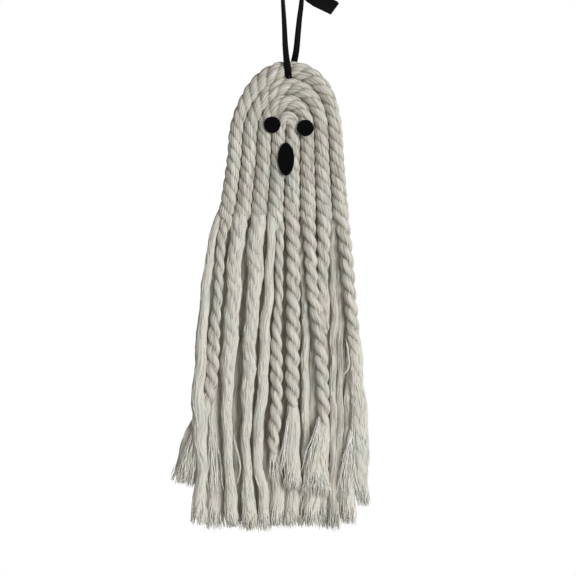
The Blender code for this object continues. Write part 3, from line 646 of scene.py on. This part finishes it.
def opened(
    route, count, seed, depth_share=0.8, lobes=0.0, crimp=0.0004, width=0.001,
    tones=(0.85, 1.12), **how,
):
    """An opened strand or bundle: its yarns, round a core that keeps light from passing through and
    ends 4.5 mm before they do. The core's tone is 0.1 to 0.15 lower, painted shade for the inside of
    the bundle. In the last 13 mm finer yarns come apart, 1.15 times as wide and up to 1 mm lower,
    their tone 0.3 higher as painted light. The route keeps the wave of the rope that it was laid in,
    a helix of radius `crimp` with one turn in 26 mm, which grows over 15 mm. The core is one round
    strand, or three laid ones where the bundle keeps its lobes."""
    rows = smooth_rows(skirt_rows(route, depth_share), 0.001)
    run = distance_run(rows[:, :3])
    winding = seed - 2 * math.pi * run / 0.026
    kept = crimp * eased(run / 0.015)
    rows[:, 0] += kept * np.cos(winding)
    rows[:, 1] += kept * np.sin(winding)
    frayed = rows[-14:] * (1, 1, 1, 1.15, 1.15)
    frayed[:, 2] -= 0.001 * np.linspace(0, 1, 14)
    inner = rows[run < run[-1] - 0.0045][::3] * (1, 1, 1, 1.02, 1.02)
    # The frayed yarns' tones are raised by 0.3: painted light.
    paler_by_painted_light = {"tones": (tones[0] + 0.3, tones[1] + 0.3)}
    # The core's tones are lowered: painted shade inside the bundle.
    core = {"close": 0.008, "tones": (tones[0] - 0.1, tones[1] - 0.15)}
    if lobes:
        core.update(turns=TURN_IN_SKIRT, out=0.36, thick=0.66, count=8, shaded=0.3)
    else:
        core.update(turns=0.08, strands=1, out=0.0, thick=1.0, count=9)
    return [
        yarns(rows, count, seed, width, lobes=lobes, tones=tones, **how),
        yarns(frayed, count, seed + 200, 0.0005, ragged=0.007, wave=0.0004, sides=3, **paler_by_painted_light),
        laid(inner, seed + 100, **core),
    ]


def behind(route, count, seed):
    """A strand that hangs in the shade behind the others and shows in the gaps, its tone lowered as
    painted shade.
    """
    return opened(route, count, seed, depth_share=0.5, width=YARN_WIDTH, tones=(0.35, 0.7))


def fibres(route, count, seed):
    """Fine fibres that fan out over a route, in front of a tuft, with a high tone that whitens them as
    painted light.
    """
    rows = smooth_rows(skirt_rows(route, 0.3), 0.001)
    how = {"ragged": 0.01, "wave": 0.0003, "sides": 3, "tones": (1.1, 1.45)}
    return yarns(rows, count, seed, 0.00045, step=0.002, **how)


def pair(route, seed):
    """Two strands still laid round each other, with less painted shade in their grooves than the whole
    rope.
    """
    rows = smooth_rows(skirt_rows(route, 0.9), 0.001)
    how = {"strands": 2, "out": 0.42, "thick": 0.7, "close": 0.005, "shaded": 0.4}
    return laid(rows, seed, TURN_IN_PAIR, tones=(0.55, 1.0), **how)


lowered = OUTER_RISE - 0.0005  # it sags a little between the ribbon and the shoulders
rows = arch_rows(3.5, lowered, swell=0.0012)
crown = (head_middle(BEND_Z + lowered), 0, BEND_Z + lowered)
rows = narrowed(rows, crown, SQUEEZED_LENGTH, 0.88)
left = [(1, -405, 0, 106), (3.5, -422, 8, 95), (7, -450, 20, 50)]
rows = with_ends(rows, left, tapered_end(384, 393, 400))
left_strand = [
    (-4, -425, -5, 60), (4.5, -490, -5, 52), (14, -524, 0, 56), (20, -545, 0, 64), (27, -555, 0, 70),
    (33, -571, 0, 74), (43, -581, -5, 83), (49, -587, -10, 85), (55, -603, -15, 82), (59, -606, -18, 92),
    (63, -590, -18, 104), (68, -588, -15, 106), (74, -586, -12, 92), (81, -572, -10, 78),
    (87, -588, -10, 88), (92, -598, -10, 106), (98, -600, -10, 115),
]
left_pair = [
    (-4, -388, 0, 75), (5, -433, 0, 66), (17, -455, 0, 66), (27, -468, 0, 66), (33, -484, 0, 74),
    (43, -500, 0, 96), (55, -520, 5, 94), (60, -542, 15, 85), (65, -580, 32, 80),
]
left_flare = [
    (57, -535, 15, 70), (61, -560, 28, 80), (64.5, -600, 40, 85), (68, -638, 45, 95), (75, -666, 50, 135),
    (81, -686, 50, 172), (85.5, -710, 50, 190),
]
right_pair = [
    (-6, 375, 6, 85), (-1, 383, -8, 98), (6, 403, 0, 98), (14, 422, 0, 96), (27, 446, 0, 92),
    (36, 465, 0, 88), (40, 474, 5, 84),
]
right_bundle = [
    (33, 460, 5, 95), (36, 467, 0, 95), (43, 483, 0, 88), (52, 490, 0, 98), (59, 499, 0, 111),
    (68, 511, 0, 129), (80, 510, 0, 121), (87, 523, 0, 100), (92, 529, 0, 90),
]
right_inner = [
    (36, 462, 13, 52), (45, 450, 39, 57), (55, 441, 45, 70), (70, 437, 39, 80), (82, 436, 26, 95),
    (92, 435, 19, 105), (98, 435, 13, 110),
]
left_fallen = [
    (-6, -370, 30, 77), (3, -395, 60, 90), (12, -415, 80, 102), (24, -420, 85, 102), (36, -440, 90, 102),
    (50, -455, 90, 90), (65, -445, 90, 90), (80, -430, 85, 96), (95, -430, 80, 102),
]
right_fallen = [
    (-6, 375, 30, 64), (10, 360, 70, 77), (20, 372, 80, 77), (30, 385, 85, 90), (42, 398, 85, 109),
    (55, 405, 85, 122), (70, 405, 85, 122), (85, 400, 80, 115), (96, 400, 70, 115),
]
left_fan = [(64, -600, -10, 30), (72, -645, -10, 70), (79, -675, -10, 120), (86, -695, -10, 150)]
right_fan = [(66, 460, -10, 30), (74, 435, -20, 60), (82, 415, -20, 100), (90, 405, -20, 140)]
curled_yarn = [
    (38.8, 408, -45, 17), (42.6, 425, -50, 18), (46.4, 432, -50, 17), (49, 422, -50, 15),
    (50.3, 398, -50, 14), (51.2, 374, -45, 10),
]
curled = smooth_rows(skirt_rows(curled_yarn, 0.8), 0.0006)
batches = [
    laid(rows, 1, turn_lengths(rows), free=freedom(rows)),
    *opened(left_strand, 30, 2, lay=-80, twist=-40, emerge=0.008, crimp=0.0002),
    pair(left_pair, 3),
    pair(right_pair, 11),
    *opened(left_flare, 64, 4, depth_share=0.5, crimp=0.0002),
    *opened(
        right_bundle, 56, 5, depth_share=0.5, width=YARN_WIDTH, ragged=0.006, lay=-110, emerge=0.012,
        lobes=0.12, twist=-6,
    ),
    *opened(right_inner, 36, 6),
    *behind(left_fallen, 20, 9),
    *behind(right_fallen, 20, 8),
    yarns(curled, 5, 10, width=0.0006, ragged=0.002, step=0.001),
    fibres(left_fan, 20, 44),
    fibres(right_fan, 24, 45),
    hairs(rows, 90, 7),
]
tube_piece("outer_rope", batches, cotton, "cotton_rope", "rope_outer")


# Second rope: the next arch in. Its left end is a fluffy bundle from right below the neck. On the
# right a laid pair comes down in front and dives behind after a third of the skirt, and three
# loose strands hang behind and beside it.
rows = arch_rows(2.5, SECOND_RISE, swell=0.0008)
rows = with_ends(rows, tapered_end(-307, -318, -335), tapered_end(266, 267, 268))
left_bundle = [
    (-5, -295, 2, 102), (-0.5, -305, -22, 106), (4, -320, -22, 110), (8, -336, -8, 108),
    (14, -350, 0, 105), (27, -359, 0, 105), (36, -378, 0, 108), (49, -394, 0, 100), (55, -404, 0, 82),
    (65, -403, 0, 74), (81, -388, 0, 70), (89, -378, 0, 88), (99, -365, 0, 105),
]
left_back = [
    (-4, -360, 20, 50), (3, -435, 45, 75), (10, -475, 60, 90), (20, -490, 64, 95), (30, -500, 70, 100),
    (42, -515, 80, 125), (52, -525, 85, 140), (64, -508, 88, 125), (77, -502, 85, 115),
    (90, -492, 85, 145), (100, -478, 75, 160),
]
left_fan = [(66, -510, 20, 40), (74, -500, 15, 80), (82, -490, 15, 110), (90, -480, 15, 140)]
left_fallen = [
    (-6, -250, 30, 77), (8, -277, 70, 90), (24, -290, 80, 96), (36, -300, 85, 96), (49, -318, 85, 102),
    (56, -335, 85, 115), (68, -338, 85, 115), (80, -330, 80, 115), (99, -320, 70, 128),
]
thin_yarn = [
    (69, -362, -10, 20), (72.8, -345, -20, 18), (76, -325, -25, 16), (79.5, -314, -25, 16),
    (82.9, -324, -25, 15), (86.1, -342, -20, 12),
]
thin = smooth_rows(skirt_rows(thin_yarn, 0.8), 0.0006)
right_front = [
    (-6, 270, 4, 90), (-1, 268, -10, 96), (4, 264, -10, 96), (8, 262, -6, 94), (14, 260, 0, 90),
    (19, 255, 4, 78), (24, 250, 4, 70), (28, 254, 8, 66), (33, 266, 22, 62), (38, 280, 50, 60),
]
right_back = [
    (20, 275, 60, 70), (30, 283, 70, 70), (38, 292, 78, 62), (46, 306, 82, 62), (58, 323, 80, 65),
    (70, 319, 82, 70), (82, 293, 90, 95), (92, 282, 82, 110), (100, 282, 70, 115),
]
right_side = [
    (-5, 312, 30, 70), (2, 325, 36, 75), (8, 320, 42, 60), (15, 320, 45, 45), (21, 328, 42, 45),
    (27, 336, 40, 50), (36, 334, 38, 52), (43, 328, 38, 50), (55, 326, 36, 50), (70, 326, 34, 60),
    (79, 330, 30, 70), (89, 332, 30, 85), (100, 330, 30, 95),
]
right_thin = [
    (-3, 340, 40, 50), (5, 350, 50, 50), (12, 355, 50, 45), (24, 372, 45, 44), (36, 378, 42, 44),
    (48, 374, 42, 46), (60, 376, 38, 50), (72, 374, 34, 60), (84, 380, 30, 80), (97, 378, 30, 100),
]
right_fallen = [
    (-6, 230, 30, 77), (6, 230, 70, 102), (16, 272, 80, 128), (26, 278, 80, 128), (36, 285, 85, 109),
    (60, 290, 85, 90), (80, 280, 90, 102), (97, 275, 80, 115),
]
batches = [
    laid(rows, 11, turn_lengths(rows), free=freedom(rows)),
    *opened(
        left_bundle, 45, 12, depth_share=0.75, width=YARN_WIDTH, lay=-110, twist=-12, emerge=0.007,
        lobes=0.14,
    ),
    *opened(left_back, 36, 13),
    *behind(left_fallen, 20, 17),
    yarns(thin, 5, 19, width=0.0006, step=0.0015),
    pair(right_front, 20),
    *opened(right_back, 28, 14),
    *opened(right_side, 20, 15, twist=-30, tones=(0.5, 0.9)),
    *opened(right_thin, 16, 21, width=0.0009, twist=-30, tones=(0.45, 0.85)),
    fibres(left_fan, 18, 43),
    *behind(right_fallen, 20, 18),
    hairs(rows, 100, 16),
]
tube_piece("second_rope", batches, cotton, "cotton_rope", "rope_second")


# Third rope: its left end is one fluffy bundle. Its right end goes on as a laid pair for two thirds
# of the skirt, with a single strand hanging beside it, and is combed out into a wide tuft.
rows = arch_rows(1.5, 1.5 * CROWN_SPACING)
rows = with_ends(rows, tapered_end(-188, -195, -203), tapered_end(156, 160, 165))
left_bundle = [
    (-5, -179, 2, 102), (-0.5, -186, -22, 108), (4, -197, -22, 116), (11, -208, -4, 118),
    (17, -209, 0, 116), (24, -218, 0, 100), (36, -243, 0, 96), (49, -253, 0, 95), (55, -261, 0, 92),
    (62, -268, 0, 75), (68, -272, 0, 70), (74, -273, 0, 66), (84, -262, 0, 75), (90, -256, 0, 100),
    (100, -254, 0, 130),
]
left_fallen = [
    (-6, -140, 30, 77), (8, -142, 70, 77), (27, -166, 80, 83), (40, -185, 85, 83), (55, -192, 85, 83),
    (65, -220, 85, 83), (80, -225, 80, 83), (99, -200, 70, 102),
]
right_fallen = [
    (-6, 110, 30, 77), (10, 120, 75, 109), (25, 125, 85, 122), (45, 110, 90, 109), (60, 100, 90, 96),
    (80, 105, 85, 96), (99, 115, 75, 96),
]
right_pair = [
    (-6, 150, 6, 85), (-1, 156, -8, 98), (4, 162, -2, 98), (8, 168, 0, 96), (14, 174, 0, 90),
    (20, 181, 0, 88), (24, 187, 0, 90), (30, 209, 0, 96), (36, 231, 0, 100), (43, 241, 0, 96),
    (49, 251, 0, 92), (55, 258, 0, 88), (62, 263, 0, 86), (68, 257, 2, 77),
]
front_tuft = [
    (62, 262, 0, 85), (66, 258, 0, 90), (70, 247, -4, 105), (75, 228, -6, 135), (81, 213, -6, 168),
    (89, 205, -6, 195),
]
tuft_fan = [(63, 235, -25, 30), (70, 205, -30, 60), (76, 175, -30, 100), (83, 160, -25, 130)]
left_of_rope = [
    (-4, 150, 25, 45), (6, 112, 50, 50), (16, 110, 52, 50), (24, 125, 50, 50), (30, 138, 45, 53),
    (38, 138, 44, 56), (46, 135, 39, 57), (58, 135, 36, 57), (70, 139, 36, 55), (79, 137, 42, 48),
    (85, 134, 46, 30),
]
back_tuft = [
    (26, 185, 60, 60), (45, 200, 80, 90), (62, 200, 80, 105), (73, 195, 75, 95), (82, 185, 70, 95),
    (91, 178, 67, 135), (99, 168, 59, 150),
]
batches = [
    laid(rows, 21, turn_lengths(rows), free=freedom(rows)),
    pair(right_pair, 27),
    *opened(
        left_bundle, 45, 22, depth_share=0.75, width=YARN_WIDTH, lay=-110, twist=-12, emerge=0.007,
        lobes=0.14,
    ),
    *opened(front_tuft, 80, 23, depth_share=0.36, wave=0.0004, lay=-80, ragged=0.008),
    *behind(left_fallen, 24, 28),
    *behind(right_fallen, 24, 29),
    *opened(left_of_rope, 24, 24, ragged=0.01),
    *opened(back_tuft, 40, 25),
    fibres(tuft_fan, 20, 46),
    hairs(rows, 90, 26),
]
tube_piece("third_rope", batches, cotton, "cotton_rope", "rope_third")


# Innermost rope: bent back on itself in the middle of the head. Its left end is one strand and a
# laid pair, its right end goes on as a laid pair for nearly two thirds of the skirt.
rows = arch_rows(0.5, 0.5 * CROWN_SPACING)
left = [(0.5, -66, 2, 106), (3, -70, 15, 90), (6, -75, 40, 50)]
rows = with_ends(rows, left, tapered_end(43, 46, 50))
left_strand = [
    (-6, -85, 0, 66), (0, -92, -20, 66), (5, -97, -12, 60), (11, -105, 0, 58), (24, -115, 0, 68),
    (36, -141, 0, 69), (49, -151, 0, 74), (55, -158, 0, 76), (62, -176, 0, 76), (68, -186, 0, 72),
    (74, -194, 0, 68), (81, -183, 0, 68), (87, -159, 0, 70), (100, -141, 0, 90),
]
left_pair = [
    (-6, -45, 4, 75), (2, -40, 2, 66), (8, -40, 0, 60), (14, -44, 0, 58), (27, -46, 0, 58),
    (33, -58, 0, 62), (40, -63, 0, 78), (46, -63, 0, 90), (52, -63, 0, 90), (59, -62, 0, 82),
    (65, -72, 0, 90), (71, -83, 4, 80), (77, -81, 13, 60),
]
right_pair = [
    (-6, 40, 6, 85), (-1, 43, -8, 100), (4, 50, -2, 100), (8, 52, 0, 100), (27, 52, 0, 100),
    (43, 49, 0, 100), (49, 46, 0, 100), (58, 47, 0, 92), (62, 48, 0, 77),
]
left_tuft = [
    (66, -80, 40, 60), (76, -75, 55, 80), (84, -62, 60, 100), (92, -58, 55, 100), (99, -57, 50, 105),
]
fan = [(62, 28, -10, 25), (70, 0, -15, 40), (77, -18, -15, 70), (83, -32, -10, 110)]
left_fray = [(71, -84, 5, 45), (76, -83, 5, 60), (80, -80, 5, 95), (85, -76, 5, 140)]
left_fallen = [
    (-6, -75, 30, 77), (8, -74, 70, 77), (30, -84, 80, 77), (45, -106, 85, 83), (55, -110, 85, 83),
    (65, -132, 85, 102), (75, -130, 85, 109), (85, -120, 80, 102), (99, -100, 70, 109),
]
middle_fallen = [
    (-6, -10, 30, 77), (10, -12, 70, 77), (30, -15, 85, 83), (50, -15, 85, 90), (65, -15, 85, 102),
    (80, -12, 80, 90), (99, -8, 75, 90),
]
front_tuft = [
    (57, 47, 0, 92), (62, 50, 0, 88), (66, 54, -4, 88), (73, 54, -6, 90), (80, 48, -6, 102),
    (87, 42, -6, 118),
]
back_tuft = [(60, 50, 13, 58), (69, 53, 39, 65), (77, 50, 54, 78), (88, 48, 59, 95), (99, 45, 52, 110)]
batches = [
    laid(rows, 31, turn_lengths(rows), free=freedom(rows)),
    *opened(left_strand, 30, 32, lay=-80, twist=-50, emerge=0.01),
    pair(left_pair, 33),
    pair(right_pair, 30),
    *opened(left_tuft, 36, 34),
    fibres(left_fray, 34, 40),
    *behind(left_fallen, 24, 38),
    *behind(middle_fallen, 24, 39),
    *opened(front_tuft, 54, 35, depth_share=0.5, ragged=0.002, lay=-110, emerge=0.012),
    *opened(back_tuft, 36, 36),
    fibres(fan, 16, 42),
    hairs(rows, 60, 37),
]
tube_piece("inner_rope", batches, cotton, "cotton_rope", "rope_inner")


# Glue seams: hot glue run into the grooves at the back, which holds the ropes side by side down to
# the neck. The bead swells and thins as the gun moved. The outermost one stops beside the ribbon.
SEAM_HALF_WIDTH = 0.0016
SEAM_HALF_DEPTH = 0.001

# Set hot-melt glue: cloudy, cream to amber where it is thick, with a soft wet-looking gloss.
hot_glue, tree, resin = new_material("cloudy_hot_glue", {"Roughness": 0.35, "IOR": 1.48})
place = add_node(tree, "ShaderNodeTexCoord").outputs["Object"]
# Clouds 6 mm across
milk = add_node(tree, "ShaderNodeTexNoise", {"Vector": place, "Scale": 170.0, "Detail": 3.0})
cloudy = mix_colours(tree, milk.outputs["Fac"], linear("#b5ab90"), linear("#dad3bf"))
dress(tree, resin, cloudy, milk.outputs["Fac"], 0.3, 0.0003)


def glue_bead(node, seed, lane, rise, turn_from, turn_to, left_end=0.0, right_end=0.0):
    """A bead down the groove between two ropes, at `lane` spacings out: a flattened tube that lies
    where circles of the ropes' radius leave room, and swells by a sum of sines along its way."""
    random = np.random.default_rng(seed)
    left = np.linspace(left_end, 0, 7)[:-1] if left_end else np.zeros(0)
    turn = np.linspace(turn_from, turn_to, 13) if lane else np.zeros(0)
    right = np.zeros(0)
    if right_end:
        right = np.linspace(0, right_end, 7)[1:] if lane else np.linspace(-0.002, right_end, 7)
    crown_z = BEND_Z + rise * np.sin(turn)
    crown_x = head_middle(crown_z) + lane * ROPE_SPACING * head_share(crown_z) * np.cos(turn)
    x = np.concatenate([leg_x(-lane, left), crown_x, leg_x(lane, right)])
    z = np.concatenate([BEND_Z - left, crown_z, BEND_Z - right])
    swollen = ROPE_RADIUS + (CROWN_RADIUS - ROPE_RADIUS) * np.sin(turn) ** 2
    radius = np.concatenate([leg_radius(left), swollen, leg_radius(right)])
    depth = np.sqrt((radius + 0.001) ** 2 - (radius + CLEARANCE / 2) ** 2) + 0.0001
    rows = smooth_rows(np.stack([x, depth, z, radius], -1), 0.0008)
    places = rows[:, :3]
    _, across, deep = directions(places)
    run = distance_run(places)
    swell = 1 + waver(random, (1, 1), run, 0.009, 0.17)[0]
    ends = np.clip(np.minimum(run, run[-1] - run) / 0.0012, 0.15, 1) ** 0.5
    ring = np.linspace(0, 2 * math.pi, 14, endpoint=False)
    corner_w = (SEAM_HALF_WIDTH * swell * ends)[:, None] * np.cos(ring)
    corner_d = (SEAM_HALF_DEPTH * swell * ends)[:, None] * np.sin(ring)
    points = ringed(places, corner_w, corner_d, across, deep)
    bead = (points[None], run[None], np.array([0.006]), 0.5)
    return tube_piece(node + "_bead", [bead], hot_glue, "hot_glue", node)


seam_end = NECK_DROP - 0.004
outer_seam_rise = 3 * CROWN_SPACING + RIBBON_LIFT / 2
glue_bead("glue_seam_outer_left", 41, 3, outer_seam_rise, math.pi, 0.62 * math.pi, left_end=seam_end)
glue_bead("glue_seam_outer_right", 42, 3, outer_seam_rise, 0.38 * math.pi, 0, right_end=seam_end)
glue_bead("glue_seam_second", 43, 2, 2 * CROWN_SPACING, math.pi, 0, left_end=seam_end, right_end=seam_end)
glue_bead("glue_seam_third", 44, 1, CROWN_SPACING, math.pi, 0, left_end=seam_end, right_end=seam_end)
glue_bead("glue_seam_middle", 45, 0, 0, 0, 0, right_end=seam_end)


# Face: two round dots and a soft-pointed oval, cut from 1.2 mm black craft felt and glued on.
EYE_RADIUS = 0.0044
EYE_APART = 0.0176  # between their middles
EYE_DROP = 0.035  # below the top of the crown
EYE_TILT = 0.0017  # how much lower the right eye sits
MOUTH_WIDTH = 0.0088
MOUTH_HEIGHT = 0.0176
MOUTH_DROP = 0.0523
FELT_THICKNESS = 0.0012

# Pressed black felt: very matte, with matted fibres that give a faint grey bloom and no shine.
felt_look = {"Roughness": 1.0, "Specular IOR Level": 0.06}
black_felt, tree, felt = new_material("pressed_black_felt", felt_look)
place = add_node(tree, "ShaderNodeTexCoord").outputs["Object"]
# Matted fibres 0.3 mm apart
matted = add_node(
    tree,
    "ShaderNodeTexNoise",
    {"Vector": place, "Scale": 2600.0, "Detail": 4.0, "Distortion": 1.5},
)
bloom = mix_colours(tree, matted.outputs["Fac"], linear("#040405"), linear("#101011"))
dress(tree, felt, bloom, matted.outputs["Fac"], 0.8, 0.0002)


def felt_shape(node, seed, across, drop, half_width, half_height, point=0.0):
    """A cut felt shape. Rings go in over its front from the cut edge, and back in behind. The cut
    edge wanders a little, the front is slightly crowned, and `point` draws its top to a soft point."""
    random = np.random.default_rng(seed)
    ring = np.linspace(0, 2 * math.pi, 72, endpoint=False)
    pull = 1 - point * np.clip(np.sin(ring), 0, 1) ** 2
    cut = 1 + 0.008 * sum(np.sin(k * ring + random.uniform(0, 6.28)) for k in (3, 5, 9, 14))
    # Share of the radius, and depth in felt thicknesses, from the middle of the back to the front
    shares = np.array([0.02, 0.5, 0.9, 0.985, 1.0, 0.985, 0.93, 0.82, 0.6, 0.3, 0.02])
    depths = np.array([0, 0, 0, 0.12, 0.5, 0.85, 0.98, 1.03, 1.07, 1.1, 1.1])
    x = across + (half_width * pull * cut * np.cos(ring))[None] * shares[:, None]
    z = -RIBBON_DROP - drop + (half_height * cut * np.sin(ring))[None] * shares[:, None]
    depth = FELT_THICKNESS * depths[:, None]
    y = -(ROPE_RADIUS + CLEARANCE) - depth + random.normal(0, 0.00003, x.shape)
    points = np.stack([x, y, z], -1)
    shape = (points[None], 0.001 * np.arange(11)[None], np.array([0.03]), 0.5)
    return tube_piece(node + "_felt", [shape], black_felt, "black_felt", node)


face_middle = leg_x(0, 0) + 0.0015
felt_shape("left_eye", 51, face_middle - EYE_APART / 2, EYE_DROP - EYE_TILT / 2, EYE_RADIUS, EYE_RADIUS)
felt_shape("right_eye", 52, face_middle + EYE_APART / 2, EYE_DROP + EYE_TILT / 2, EYE_RADIUS, EYE_RADIUS)
felt_shape("mouth", 53, face_middle - 0.0015, MOUTH_DROP, MOUTH_WIDTH / 2, MOUTH_HEIGHT / 2, point=0.12)


# Stage: a pale floor well below the ghost, which hangs free, and a white background that only the
# camera and mirror-like rays see. One soft lamp stands in front to the right, a weaker one behind to
# the right lights the back and the right edge, and the rest is a dim even light.
FLOOR_DROP = 0.42
FLOOR_RADIUS = 0.3

ring = np.linspace(0, 2 * math.pi, 64, endpoint=False)
circle = np.stack([FLOOR_RADIUS * np.cos(ring), FLOOR_RADIUS * np.sin(ring), 0 * ring - FLOOR_DROP], -1)
floor_mesh = bpy.data.meshes.new("floor")
floor_mesh.from_pydata(circle.tolist(), [], [tuple(range(64))])
floor = bpy.data.objects.new("floor", floor_mesh)
bpy.context.scene.collection.objects.link(floor)
paper = new_material("pale_paper_floor", {"Base Color": linear("#e8e6e2"), "Roughness": 0.9})[0]
floor_mesh.materials.append(paper)

world = bpy.data.worlds.new("studio")
bpy.context.scene.world = world
world.use_nodes = True
tree = world.node_tree
for old in list(tree.nodes):
    tree.nodes.remove(old)
rays = add_node(tree, "ShaderNodeLightPath").outputs
seen = add_node(
    tree, "ShaderNodeMath", {0: rays["Is Camera Ray"], 1: rays["Is Glossy Ray"]}, operation="MAXIMUM"
)
seen = add_node(
    tree, "ShaderNodeMath", {0: seen.outputs[0], 1: rays["Is Transmission Ray"]}, operation="MAXIMUM"
)
room = add_node(tree, "ShaderNodeBackground", {"Color": linear("#e8e6e4"), "Strength": 0.28})
white = add_node(tree, "ShaderNodeBackground", {"Color": (1, 1, 1, 1), "Strength": 1.0})
shown = {0: seen.outputs[0], 1: room.outputs[0], 2: white.outputs[0]}
mixed = add_node(tree, "ShaderNodeMixShader", shown)
add_node(tree, "ShaderNodeOutputWorld", {"Surface": mixed.outputs[0]})


def soft_lamp(name, place, aim, size, power):
    """A square area lamp at a place, turned to face the point that it aims at."""
    lamp = bpy.data.objects.new(name, bpy.data.lights.new(name, "AREA"))
    lamp.data.size = size
    lamp.data.energy = power
    lamp.location = place
    x, y, z = np.array(aim) - np.array(place)
    lamp.rotation_euler = (math.atan2(math.hypot(x, y), -z), 0, math.atan2(-x, y))
    bpy.context.scene.collection.objects.link(lamp)


soft_lamp("key_lamp", (1.35, -1.9, 0.1), (0, 0, -0.22), 1.2, 43.0)
soft_lamp("back_lamp", (0.75, 0.85, 0.0), (0, 0, -0.19), 0.6, 5.5)

bpy.context.scene.view_settings.view_transform = "Standard"
